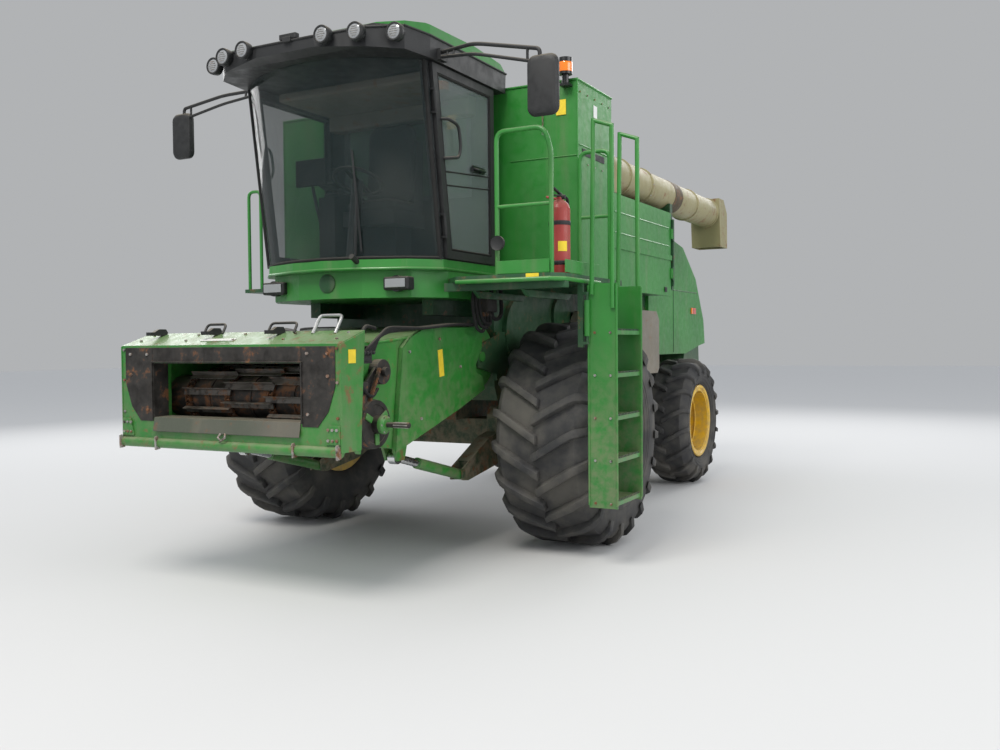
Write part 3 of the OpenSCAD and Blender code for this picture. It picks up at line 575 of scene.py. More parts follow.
def tyre(axle, side, word):
    """Casing with two rows of lugs that are half a pitch apart."""
    half = axle.width / 2
    tread = axle.radius - axle.lug
    y = side * axle.track
    flank = casing(half, axle.seat, tread)
    profile = flank + [(r, -d) for r, d in reversed(flank[:-1])] + flank[:1]
    s = Shape().lathe(profile, (axle.x, y, axle.radius), Y, 96)
    for row in (1, -1):
        for i in range(axle.lugs):
            lug(s, axle, y, half, tread, row, tau * (i + (row < 0) / 2) / axle.lugs)
    node = f"{axle.name}_tyre_{word}"
    s.smooth(f"{node}_lugged", TYRE, f"{axle.name}_wheel_{word}", bevel=0.007, replaces=(node,))


def wheel(axle, side, word):
    """Hub cap, nuts, rim lip, valve and the raised rings of the tyre's side."""
    body = f"{axle.name}_wheel_{word}"
    tag = f"{axle.name}_{word}"
    x, z, seat, boss_r = axle.x, axle.radius, axle.seat, axle.boss_r
    middle = (x, 0, z)
    Shape().lathe([(0.001, 0.055), (boss_r - 0.055, 0.05), (boss_r - 0.03, 0.03), (boss_r, 0.001),
        (boss_r, -0.004), (0.001, -0.004)], middle, Y, 36, side * axle.boss, side).smooth(
        f"hub_cap_{tag}", YELLOW, body)
    b = Shape()
    for i in range(axle.studs):
        a = tau * (i + 0.5) / axle.studs
        p = Vector((x + sin(a) * axle.stud_r, side * axle.disc, z + cos(a) * axle.stud_r))
        b.cyl(p - Vector((0, side * 0.002, 0)), p + Vector((0, side * 0.022, 0)), 0.019, 6)
        b.cyl(p, p + Vector((0, side * 0.042, 0)), 0.01, 10)
    b.make(f"wheel_nuts_{tag}", STEEL, body)
    half = axle.width / 2
    edge = side * (axle.track + half - 0.062)
    r = Shape().lathe([(seat + 0.03, 0), (seat + 0.036, 0.01), (seat + 0.026, 0.018), (seat + 0.004, 0.016),
        (seat - 0.006, 0.004), (seat - 0.006, -0.012), (seat + 0.03, 0)], middle, Y, 72, edge, side)
    r.lathe([(seat - 0.03, -0.14), (seat - 0.034, -0.15), (seat - 0.046, -0.16), (seat - 0.052, -0.15),
        (seat - 0.03, -0.14)], middle, Y, 72, edge, side)
    r.smooth(f"rim_lip_{tag}", YELLOW, body)
    Shape().cyl((x, edge - side * 0.1, z + seat - 0.05), (x, edge - side * 0.02, z + seat - 0.045),
        0.009, 10).make(f"valve_{tag}", STEEL, body)
    walls = sorted(casing(half, seat, z - axle.lug))
    ring = Shape()
    for out in (0.075, 0.105, 0.145, 0.19):
        r = seat + out
        ring.lathe([(r - 0.007, -0.004), (r - 0.003, 0.004), (r + 0.003, 0.004), (r + 0.007, -0.004)],
            middle, Y, 72, side * (axle.track + value_at(walls, r)), side)
    ring.smooth(f"tyre_rings_{tag}", TYRE, body)


for sgn, word in SIDES:
    for axle in (FRONT, REAR):
        tyre(axle, sgn, word)
        wheel(axle, sgn, word)


# Feeder: dark worn face plates, chain with slats, side sheets, drive, hoses and bolts

FACE = 2.64
MOUTH_HW = 0.65
MOUTH_LOW = 1.16
MOUTH_TOP = 1.54
FACE_TOP = 1.645
FLANGE_Y = 0.95
DRUM = (2.24, 1.29)
CHAIN_R = 0.166
STRANDS = (-0.56, -0.19, 0.19, 0.56)
SHEAVE = (2.2, 1.13)
HOUSE_LEFT = 0.8005
HOUSE_RIGHT = -0.812
GUARD_Y = 0.836


def feeder_face():
    """Face plates, lip and sill of the mouth, flanges, latches, catches and bolts of the feeder's front."""
    s = Shape()
    side_plate = [(0.652, MOUTH_LOW - 0.02), (0.652, FACE_TOP), (0.915, FACE_TOP), (0.915, 1.4),
        (0.86, 1.24), (0.775, MOUTH_LOW - 0.02)]
    for sgn in (1, -1):
        s.prism([(sgn * y, z) for y, z in side_plate], X, FACE, FACE + 0.005)
    s.box(FACE, FACE + 0.005, -MOUTH_HW, MOUTH_HW, MOUTH_TOP + 0.012, FACE_TOP)
    s.make("feeder_face_plates", GRIME, "feeder", 0.002)
    lip = Shape()
    for y in (-MOUTH_HW - 0.004, MOUTH_HW + 0.004):
        lip.box(FACE - 0.02, FACE + 0.016, y - 0.005, y + 0.005, MOUTH_LOW, MOUTH_TOP + 0.01)
    lip.box(FACE - 0.02, FACE + 0.016, -MOUTH_HW, MOUTH_HW, MOUTH_TOP + 0.002, MOUTH_TOP + 0.012)
    for y0, y1, z0 in ((-MOUTH_HW, -MOUTH_HW + 0.004, MOUTH_LOW), (MOUTH_HW - 0.004, MOUTH_HW, MOUTH_LOW),
            (-MOUTH_HW, MOUTH_HW, MOUTH_TOP - 0.004)):
        lip.box(FACE - 0.13, FACE + 0.002, y0, y1, z0, MOUTH_TOP)
    lip.make("mouth_lip", GRIME, "feeder", 0.002)
    Shape().prism([(FACE + 0.02, 1.07), (FACE + 0.024, 1.074), (FACE + 0.006, MOUTH_LOW + 0.008),
        (FACE - 0.15, MOUTH_LOW + 0.01), (FACE - 0.15, MOUTH_LOW + 0.001), (FACE + 0.001, MOUTH_LOW)],
        Y, -MOUTH_HW + 0.01, MOUTH_HW - 0.01).make("mouth_sill", STEEL_DUSTY, "feeder", 0.002)
    g = Shape()
    k = Shape()
    e = Shape()
    h = Shape().tube([(FACE + x, y, z) for x, y, z in ((0.018, -0.02, 1.075), (0.034, -0.03, 1.05),
        (0.04, 0.0, 1.03), (0.034, 0.03, 1.05), (0.018, 0.02, 1.075))], 0.008, 10)
    for sgn in (1, -1):
        y = sgn * FLANGE_Y
        g.bolts([(FACE, y - sgn * 0.02, z) for z in (1.2, 1.42, 1.63)], X, 0.01, 0.009)
        corners = ((0.7, 1.6), (0.86, 1.6), (0.86, 1.46), (0.7, 1.22))
        g.bolts([(FACE + 0.005, sgn * y, z) for y, z in corners], X, 0.011, 0.009)
        g.bolts([(FACE + 0.012, sgn * y, z) for y in (0.862, 0.895, 0.928) for z in (1.062, 1.128)], X)
        k.prism([(sgn * y, z) for y, z in ((0.84, 1.035), (0.95, 1.035), (0.95, 1.155), (0.87, 1.155))],
            X, FACE, FACE + 0.012)
        e.prism([(2.44, 0.985), (FACE + 0.006, 0.985), (FACE + 0.006, 1.655), (2.4, 1.735)],
            Y, y, y + sgn * 0.008)
        for y in (0.6, 0.945):
            h.prism([(FACE, 0.95), (FACE + 0.04, 0.945), (FACE + 0.044, 1.035), (FACE + 0.026, 1.04),
                (FACE, 1.0)], Y, sgn * y - 0.006, sgn * y + 0.006)
    for x in (2.43, 2.55):
        z = 1.745 - (x - 2.38) * 0.327
        g.bolts([(x, y, z) for y in (0.86, 0.43, 0.0, -0.43, -0.86)], (0.31, 0, 0.95))
    g.make("feeder_bolts", STEEL, "feeder")
    k.make("latch_plates", GREEN_WORN, "feeder", 0.003)
    e.make("end_flanges", GREEN_WORN, "feeder", 0.003)
    h.smooth("frame_catches", STEEL, "feeder")
    top = Shape()
    for y in (-0.78, -0.26, 0.3):
        top.box(2.4, 2.56, y - 0.02, y + 0.02, 1.728, 1.752)
        top.prism([(2.39, 1.75), (2.52, 1.75), (2.47, 1.775), (2.41, 1.775)], Y, y - 0.014, y + 0.014)
    for y0, y1 in ((-0.33, -0.16), (0.24, 0.46)):
        top.bent([(2.48, y0, 1.735), (2.44, y0, 1.8), (2.44, y1, 1.8), (2.48, y1, 1.735)], 0.009, 0.03)
    top.smooth("top_latches", BLACK, "feeder")
    Shape().bent([(2.44, 0.58, 1.725), (2.33, 0.56, 1.845), (2.33, 0.74, 1.845), (2.44, 0.76, 1.725)],
        0.011, 0.03).smooth("frame_grab", ALU, "feeder")
    Shape().slab((2.545, -0.14, 1.694), (0.045, 0.3, 0.002), (0.95, 0, -0.31)).make(
        "feeder_top_plate", WHITE, "feeder")


def conveyor():
    """Slats on the chains' two runs and round the front drum, the chains' links, the drum's flanges."""
    slats = Shape()
    for bay, (y0, y1) in enumerate(zip(STRANDS, STRANDS[1:])):
        for i in range(9):
            t = (i + 0.33 * bay) / 9
            x = 0.84 + t * 1.33
            for z, up in ((1.68 - t * 0.207, 1), (1.386 - t * 0.265, -1)):
                slats.box(x - 0.006, x + 0.004, y0 - 0.03, y1 + 0.03, z - 0.016, z + 0.016)
                z += up * 0.016
                slats.box(x - 0.006, x + 0.032, y0 - 0.03, y1 + 0.03, z - 0.004, z + 0.004)
        for a in (-66, -26, 14, 54):
            c = radians(a + 13 * bay)
            out = (cos(c), 0, sin(c))
            along = (-sin(c), 0, cos(c))
            mid = (y0 + y1) / 2
            wide = y1 - y0 + 0.06
            slats.slab((DRUM[0] + 0.18 * out[0], mid, DRUM[1] + 0.18 * out[2]), (0.044, wide, 0.008), along)
            slats.slab((DRUM[0] + 0.196 * out[0] + 0.02 * along[0], mid,
                DRUM[1] + 0.196 * out[2] + 0.02 * along[2]), (0.034, wide, 0.007), out)
    slats.make("conveyor_slats", SLAT, "feeder", 0.002)
    links = Shape()
    for y in STRANDS:
        for i in range(15):
            c = radians(-104 + i * 14.4)
            px, pz = DRUM[0] + CHAIN_R * cos(c), DRUM[1] + CHAIN_R * sin(c)
            for off in (-0.017, 0.017):
                links.slab((px, y + off, pz), (0.034, 0.006, 0.026), (-sin(c), 0, cos(c)))
            links.cyl((px, y - 0.024, pz), (px, y + 0.024, pz), 0.008, 10)
        for i in range(18):
            t = (i + 0.5) / 18
            for z in (1.668 - t * 0.204, 1.432 - t * 0.3):
                for off in (-0.024, 0.024):
                    links.slab((0.8 + t * 1.4, y + off, z), (0.06, 0.006, 0.03), (1, 0, -0.16))
    links.make("conveyor_chain_links", IRON, "feeder")
    drum = Shape()
    for y in (-0.6, -0.375, 0.0, 0.375, 0.6):
        drum.cyl((DRUM[0], y - 0.004, DRUM[1]), (DRUM[0], y + 0.004, DRUM[1]), 0.158, 40)
    drum.make("drum_flanges", DRUM_DARK, "feeder", 0.002)


def feeder_sides():
    """Smooth guard over the drive on the left, and the stiffened sheet on the right."""
    guard = Shape()
    outline = [(1.883, 0.905), (1.781, 1.63), (1.69, 1.7), (1.482, 1.775), (0.67, 1.785), (0.64, 1.73),
        (0.655, 1.62), (0.76, 1.48), (0.735, 1.42), (0.655, 1.4), (0.61, 1.29), (0.997, 1.16)]
    guard.prism(outline, Y, 0.832, GUARD_Y)
    for (x0, z0), (x1, z1) in zip(outline[:4], outline[1:5]):
        rim = [(x0, 0.803, z0), (x1, 0.803, z1), (x1, GUARD_Y, z1), (x0, GUARD_Y, z0)]
        drop = (0.002, 0.004, 0.004, 0.002)
        guard.stack([rim, [(x - 0.004, y, z - d) for (x, y, z), d in zip(rim, drop)]])
    guard.make("side_guard", GREEN, "feeder", 0.003)
    Shape().prism([(2.34, 1.055), (2.3, 1.6), (1.482, 1.7), (0.72, 1.765), (0.72, 1.32), (0.98, 1.215),
        (1.78, 0.985)], Y, HOUSE_RIGHT, -0.8).make("house_side_sheet", GREEN, "feeder", 0.003)
    ribs = Shape()
    for x in (1.15, 1.7):
        low, top = 1.26 - (x - 0.98) * 0.22, 1.72 - (x - 0.72) * 0.087
        ribs.box(x - 0.012, x + 0.012, -0.826, HOUSE_RIGHT, low, top)
    for sgn in (1, -1):
        ribs.tube([(0.8, sgn * 0.806, 1.775), (2.14, sgn * 0.806, 1.658)], 0.01)
    ribs.make("house_ribs", GREEN_WORN, "feeder", 0.003)
    bolts = Shape()
    left = ((1.3, 1.69), (1.0, 1.48), (1.56, 1.12), (1.7, 1.6))
    right = ((0.9, 1.7), (1.4, 1.66), (1.95, 1.6), (1.0, 1.27), (1.42, 1.14), (1.85, 1.03))
    for y, way, places in ((GUARD_Y, 1, left), (HOUSE_RIGHT, -1, right)):
        bolts.bolts([(x, y, z) for x, z in places], (0, way, 0), 0.012, 0.009)
    bolts.make("house_bolts", STEEL, "feeder")
    Shape().slab((1.28, 0.837, 1.512), (0.065, 0.002, 0.2), (1, 0, -0.12)).slab(
        (2.53, 0.9595, 1.58), (0.075, 0.002, 0.085)).make("feeder_blank_plates", YELLOW_LABEL, "feeder")


def feeder_drive_parts():
    """Gearbox, greasy chain and hoses between the end flange and the house's left side."""
    d = Shape().prism([(2.04, 1.0), (2.36, 1.0), (2.4, 1.12), (2.37, 1.27), (2.24, 1.33), (2.06, 1.26)],
        Y, HOUSE_LEFT, 0.816)
    d.cyl((2.06, HOUSE_LEFT, 1.47), (2.06, 0.868, 1.47), 0.085, 28)
    d.cyl((2.06, 0.868, 1.47), (2.06, 0.9, 1.47), 0.032, 16)
    d.cyl((2.33, 0.816, 1.22), (2.33, 0.88, 1.22), 0.04)
    d.slab((2.18, 0.848, 1.4), (0.3, 0.022, 0.1), (0.76, 0, -0.65))
    d.slab((2.3, 0.86, 1.3), (0.06, 0.05, 0.22), (1, 0, 0.1))
    d.make("drive_bracket", GRIME, "feeder", 0.004)
    c = Shape()
    for i in range(26):
        p = Vector((2.135, 0.885, 1.49)).lerp(Vector((2.27, 0.885, 1.24)), i / 25)
        c.slab(p, (0.012, 0.016 if i % 2 else 0.024, 0.018), (0.5, 0, -0.87))
    c.make("drive_chain", IRON, "feeder")
    m = Shape().box(2.24, 2.38, HOUSE_LEFT, 0.905, 1.53, 1.645)
    m.box(2.26, 2.36, 0.905, 0.915, 1.545, 1.575)
    for i in range(4):
        m.cyl((2.26 + i * 0.033, 0.905, 1.6), (2.26 + i * 0.033, 0.94, 1.6), 0.012, 12)
    m.make("coupler_block", BLACK, "feeder", 0.006)
    hoses = Shape()
    for i in range(5):
        y = 0.835 + i * 0.02
        hoses.bent([(2.26 + i * 0.026, 0.925, 1.6), (2.22, 0.94, 1.7), (2.06, 0.9, 1.735 + i * 0.008),
            (1.6, y - 0.02, 1.765), (1.15, y - 0.02, 1.8), (0.86, y - 0.02, 1.8)], 0.011, 0.08)
    hoses.bent([(2.35, 0.88, 1.55), (2.36, 0.9, 1.38), (2.24, 0.9, 1.3), (2.12, 0.86, 1.36)], 0.01, 0.06)
    hoses.bent([(2.3, 0.86, 1.64), (2.24, 0.84, 1.78), (2.1, 0.83, 1.76)], 0.013, 0.06)
    hoses.smooth("feeder_hoses", SEAL, "feeder")


def sheave():
    """Grooved sheave of the header drive, with its hub, bolts and the splines of its shaft."""
    x, z = SHEAVE
    Shape().lathe([(0.06, 0.822), (0.16, 0.822), (0.164, 0.83), (0.14, 0.848), (0.14, 0.862), (0.164, 0.88),
        (0.16, 0.902), (0.13, 0.902), (0.126, 0.897), (0.075, 0.897), (0.06, 0.902), (0.06, 0.822)],
        (x, 0, z), Y, 56).smooth("sheave_grooves", GRIME, "header_drive")
    hub = Shape().lathe([(0.018, 0.948), (0.062, 0.948), (0.062, 0.975), (0.045, 0.99), (0.018, 0.99)],
        (x, 0, z), Y, 32)
    for p, out in spread(3, 0.098, (x, 0.905, z), 0.5):
        hub.slab(p, (0.075, 0.014, 0.04), out)
    hub.make("sheave_hub", GREEN_WORN, "header_drive", 0.004)
    b = Shape()
    for p, _ in spread(6, 0.05, (x, 0.95, z)):
        b.cyl(p, (p[0], 0.985, p[2]), 0.008, 6)
    b.make("sheave_bolts", STEEL, "header_drive")
    k = Shape()
    for p, out in spread(6, 0.0165, (x, 1.1, z)):
        k.slab(p, (0.007, 0.11, 0.007), out)
    k.make("shaft_splines", STEEL, "header_drive")


feeder_face()
conveyor()
feeder_sides()
feeder_drive_parts()
sheave()


# Cab

CAB_HW = 0.84
FLOOR_Z = 2.28
CAB_TOP = 3.7
LAMP_Z = 3.79
DOOR_Y = 0.862
PANE_Z = 2.36
# roof lamps as (sideways, forward face)
ROOF_LAMPS = ((0.36, 2.0295), (0.6, 1.974), (0.83, 1.8355))
# half outline of the roof
ROOF_HALF = [(0.284, 0.88), (1.45, 0.88), (1.72, 0.84), (1.9, 0.64), (1.99, 0.25)]


def on_glass(y, z, off=0.012):
    """Place on the windscreen's outer face, or a little ahead of it."""
    c = 0.4565 + (z - FLOOR_Z) * 0.1409
    return (c + 1.0098 * sqrt(1.136 ** 2 - y * y) + off, y, z)


def rounded(hu, hv, corner, pull=0.0):
    """Rectangle of half sides hu and hv with round corners, whose sides pull in by a little between them."""
    out = []
    for k, (u, v, du, dv) in enumerate(((1, 1, 0, 1), (-1, 1, -1, 0), (-1, -1, 0, -1), (1, -1, 1, 0))):
        for i in range(6):
            a = pi / 2 * (k + i / 5)
            out.append((u * (hu - corner) + corner * cos(a), v * (hv - corner) + corner * sin(a)))
        out.append(((hu - pull) * du, (hv - pull) * dv))
    return out


def roof_trim():
    """Dark lip round the roof where its lower panel meets its crown, with lamps, camera box and aerial."""
    s = Shape()
    plan = ROOF_HALF + [(x, -y) for x, y in reversed(ROOF_HALF)]
    for ends in zip(plan, plan[1:] + plan[:1]):
        s.tube([(x, y, ROOF_JOINT_Z - max(0, x - 1.8) * 0.3) for x, y in ends], 0.009)
    s.smooth("roof_lip", BLACK)
    for k, (y, x) in enumerate(ROOF_LAMPS):
        for sgn, word in SIDES:
            place = (0, sgn * y, LAMP_Z)
            Shape().lathe([(0.05, -0.004), (0.062, -0.03), (0.0645, -0.026), (0.0645, 0.002), (0.062, 0.008),
                (0.052, 0.008), (0.05, -0.004)], place, X, start=x).smooth(
                f"roof_lamp_bezel_{word}_{k}", BLACK)
            Shape().lathe([(0.001, 0.01), (0.02, 0.009), (0.04, 0.006), (0.053, 0.001)], place, X,
                start=x).smooth(f"roof_lamp_lens_{word}_{k}", LENS)
            f = Shape()
            for j in (-0.03, -0.015, 0.0, 0.015, 0.03):
                f.slab((x + 0.0105, sgn * y, LAMP_Z + j), (0.002, 0.07 - abs(j), 0.0022))
            f.make(f"roof_lamp_ribs_{word}_{k}", GREY)
    Shape().box(1.955, 2.0, -0.04, 0.11, 3.815, 3.855).box(1.985, 2.015, 0.0, 0.07, 3.79, 3.83).make(
        "roof_camera", BLACK, bevel=0.006)
    Shape().cyl((1.3, 0.62, 3.922), (1.3, 0.62, 3.95), 0.02, 16).cyl(
        (1.3, 0.62, 3.95), (1.3, 0.62, 4.04), 0.004, 8).smooth("aerial", BLACK)


def cab_outside():
    """Skirt lamps, beads and seals, wiper, door handle and grab loops."""
    for sgn, word in SIDES:
        y = sgn * 0.58
        Shape().box(1.395, 1.49, y - 0.11, y + 0.11, 2.052, 2.15).make(
            f"skirt_lamp_housing_{word}", BLACK, bevel=0.014)
        Shape().box(1.49, 1.498, y - 0.088, y + 0.088, 2.07, 2.135).make(
            f"skirt_lamp_lens_{word}", LENS, bevel=0.01)
    Shape().lathe([(0.001, 1.556), (0.06, 1.555), (0.072, 1.548), (0.072, 1.53), (0.001, 1.53)],
        (0, 0, 2.115), X, 40).smooth("skirt_boss", GREEN_DARK)
    # bead round the cab's floor
    skirt = [(0.41, 0.84), (1.235, 0.84), (1.44, 0.65), (1.58, 0.3), (1.62, 0.0)]
    skirt += [(x, -y) for x, y in reversed(skirt[:-1])]
    Shape().tube([(x + 0.002, y * 1.002, 2.212) for x, y in skirt], 0.01).smooth("floor_bead", GREEN)
    k = Shape()
    for sgn in (1, -1):
        k.tube([(1.247, sgn * 0.822, FLOOR_Z + 0.004), (1.447, sgn * 0.822, CAB_TOP - 0.004)], 0.017, 10)
    k.tube([on_glass(-0.82 + i * 1.64 / 24, FLOOR_Z + 0.012, 0.003) for i in range(25)], 0.011)
    k.smooth("windscreen_seal", SEAL)
    w = Shape().cyl((1.565, 0.3, 2.262), (1.64, 0.3, 2.3), 0.022, 16)
    w.tube([on_glass(0.3, 2.315, 0.02), on_glass(0.34, 2.55, 0.045), on_glass(0.36, 2.72, 0.04)], 0.008, 10)
    w.tube([on_glass(0.345, 2.34 + i * 0.072, 0.018) for i in range(11)], 0.008, 10)
    w.smooth("wiper", BLACK)
    # door: handle, seal of its pane and its two thin rods
    Shape().box(0.66, 0.84, DOOR_Y, 0.88, 2.985, 3.03).bent(
        [(0.69, 0.872, 3.01), (0.69, 0.905, 3.0), (0.82, 0.905, 3.0), (0.82, 0.872, 3.01)],
        0.009, 0.015).smooth("door_handle", BLACK_GLOSS, "door")
    corners = ((0.54, PANE_Z), (1.146, PANE_Z), (1.32, CAB_TOP - 0.08), (0.54, CAB_TOP - 0.08))
    seal = Shape().tube([(x, 0.853, z) for x, z in corners], 0.011, 8, True)
    for z in (2.83, 2.93):
        seal.tube([(0.54, 0.853, z + 0.055), (1.146 + (z - PANE_Z) * 0.141, 0.853, z)], 0.005)
    seal.smooth("door_pane_seal", SEAL, "door")
    corners = ((0.5, FLOOR_Z + 0.1), (1.172, FLOOR_Z + 0.1), (1.345, CAB_TOP - 0.08), (0.5, CAB_TOP - 0.08))
    Shape().tube([(x, -0.822, z) for x, z in corners], 0.011, 8, True).smooth("side_pane_seal", SEAL)
    # grab loops on the front pillars
    for word, body, y, out in (("left", "door", DOOR_Y, 0.915), ("right", "chassis", -0.829, -0.9)):
        Shape().bent([(1.285, y, 3.3), (1.27, out, 3.3), (1.12, out, 3.28), (1.09, out, 3.12),
            (1.12, out, 3.04), (1.24, out, 3.02), (1.245, y, 3.02)], 0.012, 0.05).smooth(
            f"pillar_grab_{word}", BLACK, body)


def cab_inside():
    """Padded seat, console, monitor and headliner."""
    rise = ((0.0, 0.9), (0.012, 0.96), (0.035, 1.0), (0.06, 0.99), (0.078, 0.93), (0.092, 0.74),
        (0.098, 0.44), (0.1, 0.12))
    cushion = [[(0.785 + p * k, q * k, FLOOR_Z + 0.45 + up) for p, q in rounded(0.215, 0.245, 0.07, 0.012)]
        for up, k in rise]
    back = [[(0.62 + up * 1.12 - q * k * 0.09, p * k, FLOOR_Z + 0.86 + q * k)
        for p, q in rounded(0.22, 0.33, 0.09, 0.01)] for up, k in rise]
    for name, layers in (("seat_cushion", cushion), ("seat_back", back)):
        pad = Shape().stack(layers).tube(layers[3], 0.004, 6, True).smooth(name, FABRIC)
    a = Shape().box(0.62, 0.98, -0.46, -0.31, 2.86, 2.9)
    a.slab((1.02, -0.38, 2.95), (0.1, 0.16, 0.02), (1, 0, 0.3))
    a.tube([(0.94, -0.38, 2.9), (0.96, -0.38, 3.02)], 0.018, 12)
    a.cyl((0.955, -0.38, 3.0), (0.97, -0.38, 3.1), 0.032, 16)
    a.make("armrest_console", BLACK, bevel=0.008)
    Shape().box(1.07, 1.1, -0.66, -0.36, 2.95, 3.17).tube([(1.07, -0.51, 2.97), (1.02, -0.51, 2.8),
        (1.02, -0.45, 2.6)], 0.014, 10).make("monitor", BLACK, bevel=0.008)
    Shape().box(0.46, 0.6, -0.7, 0.7, 3.5, 3.66).box(0.6, 1.25, -0.7, 0.7, 3.62, 3.69).make(
        "headliner", GREY, bevel=0.02)


def under_cab():
    """Valve block and hoses between the cab floor and the body, behind the feeder's left side."""
    v = Shape().box(0.62, 0.78, 0.862, 0.96, 1.9, 2.03)
    h = Shape()
    for i in range(3):
        x = 0.65 + i * 0.05
        v.cyl((x, 0.91, 1.9), (x, 0.91, 1.865), 0.016, 12)
        h.bent([(x, 0.91, 1.88), (x + 0.01, 0.92, 1.8 - i * 0.03), (x + 0.16, 0.93, 1.82 - i * 0.03),
            (x + 0.24, 0.94, 1.96), (x + 0.22, 0.95, 2.095)], 0.013, 0.07, 5)
    v.make("valve_block", GRIME, bevel=0.006, slot="black_plastic")
    h.bent([(0.45, 0.9, 2.09), (0.45, 0.91, 1.86), (0.64, 0.92, 1.84), (0.66, 0.93, 2.09)], 0.016, 0.09, 5)
    h.smooth("valve_hoses", SEAL)


roof_trim()
cab_outside()
cab_inside()
under_cab()


# Mirrors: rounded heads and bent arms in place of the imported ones


def mirror(word, base, knee, head, replaced):
    """One mirror: a pair of bent arms with struts and a foot, a rounded head and its face."""
    sgn = 1 if head[1] > 0 else -1
    base, knee, head = Vector(base), Vector(knee), Vector(head)
    top = head + Vector((0, 0, 0.24))
    low = head + Vector((0, 0, 0.15))
    under = base + Vector((0.02, 0, -0.04))
    knee_low = knee + Vector((0, 0, -0.07))
    arm = Shape().bent([base, knee, top, head + Vector((0, 0, 0.17))], 0.014, 0.09, 6, 14)
    arm.bent([under, knee_low, low], 0.012, 0.09, 6, 14)
    arm.box(base.x - 0.06, base.x + 0.04, *sorted((sgn * (CAB_HW + 0.0403), sgn * (CAB_HW + 0.07))),
        base.z - 0.06, base.z + 0.02)
    for t in (0.22, 0.42):
        arm.cyl(base.lerp(knee, t), under.lerp(knee_low, t), 0.01, 10)
    arm.cyl(knee.lerp(top, 0.82), knee_low.lerp(low, 0.82), 0.01, 10)
    arm.smooth(f"mirror_arm_{word}", BLACK, replaces=replaced)
    x, y, z = head.x, head.y + sgn * 0.02, head.z
    depth = ((-0.03, 0.9), (-0.026, 0.98), (-0.01, 1.0), (0.01, 0.985), (0.024, 0.92), (0.03, 0.78))
    Shape().stack([[(x + d, y + sgn * p * k, z + q * k) for p, q in rounded(0.11, 0.2, 0.055)]
        for d, k in depth]).smooth(f"mirror_head_{word}", BLACK, replaces=replaced)
    Shape().box(x - 0.0325, x - 0.0295, y - 0.085, y + 0.085, z - 0.165, z + 0.165).make(
        f"mirror_face_{word}", MIRROR)


mirror("left", (1.32, 0.895, 3.77), (1.56, 1.3, 3.71), (1.62, 1.83, 3.34), ("mirrors",))
mirror("right", (1.2, -0.895, 3.77), (1.14, -1.4, 3.79), (1.06, -1.94, 3.52), ())


# Platform, ladder and rails

DECK_TOP = 2.1403
RAIL_TOP = 3.15


def smooth_rails():
    """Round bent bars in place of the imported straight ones, on the same centre lines."""
    s = Shape()
    s.bent([(1.3, 1.33, DECK_TOP), (1.3, 1.33, RAIL_TOP), (1.3, 1.7, RAIL_TOP), (1.3, 1.755, 3.0),
        (1.3, 1.755, DECK_TOP)], 0.017, 0.07, 5, 16)
    s.cyl((1.3, 1.33, 2.62), (1.3, 1.755, 2.62), 0.014, 16)
    s.bent([(0.3, 1.54, DECK_TOP), (0.3, 1.54, RAIL_TOP), (0.3, 1.79, RAIL_TOP), (0.3, 1.79, DECK_TOP)],
        0.017, 0.07, 5, 16)
    s.cyl((0.3, 1.54, 2.64), (0.3, 1.79, 2.64), 0.014, 16)
    s.bent([(1.12, -1.15, 2.13), (1.12, -1.15, 2.95), (1.12, -1.02, 2.95), (1.12, -1.02, 2.13)],
        0.014, 0.05, 5, 14)
    s.smooth("rails_bent", GREEN, replaces=("handrails",))


def platform_pieces():
    """Tread pattern, edge, beams and kick plates of the deck, blank plates, horn and beacon."""
    t = Shape()
    for i in range(12):
        for j in range(12):
            x = 0.33 + i * 0.078
            y = 0.9 + j * 0.078
            if x <= 1.16 or y >= 1.02:
                t.slab((x, y, 2.1415), (0.034, 0.01, 0.003), (1, 0.6 * (-1) ** (i + j), 0), Z)
    t.make("deck_tread_pattern", GREEN_DARK, slot="frame_paint")
    Shape().tube([(0.6, 1.824, 2.1), (1.245, 1.824, 2.1), (1.326, 1.752, 2.1), (1.326, 1.0, 2.1)],
        0.0165, 12).smooth("deck_edge_tube", GREEN, slot="frame_paint")
    b = Shape()
    for y in (1.05, 1.45):
        b.prism([(0.33, 2.04), (1.18, 2.04), (1.1, 1.99), (0.4, 1.99)], Y, y, y + 0.03)
    b.make("deck_beams", GREEN_DARK, bevel=0.003, slot="frame_paint")
    Shape().box(1.326, 1.33, 1.34, 1.75, 2.145, 2.235).box(0.62, 1.24, 1.827, 1.831, 2.145, 2.235).make(
        "deck_kick_plates", GREEN, bevel=0.001)
    Shape().slab((1.332, 1.62, 2.122), (0.003, 0.1, 0.034)).slab(
        (0.255, 1.36, 3.54), (0.004, 0.085, 0.12)).make("blank_plates", YELLOW_LABEL)
    # horn beside the cab
    Shape().lathe([(0.001, 1.352), (0.03, 1.352), (0.052, 1.362), (0.052, 1.34), (0.02, 1.3), (0.001, 1.3)],
        (0, 1.36, 2.36), X, 32).smooth("horn", BLACK)
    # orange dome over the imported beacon
    Shape().lathe([(0.0565, 3.8), (0.057, 3.86), (0.052, 3.895), (0.036, 3.914), (0.001, 3.92)],
        (0.3, 1.42, 0), Z, 32).smooth("beacon_dome", ORANGE)


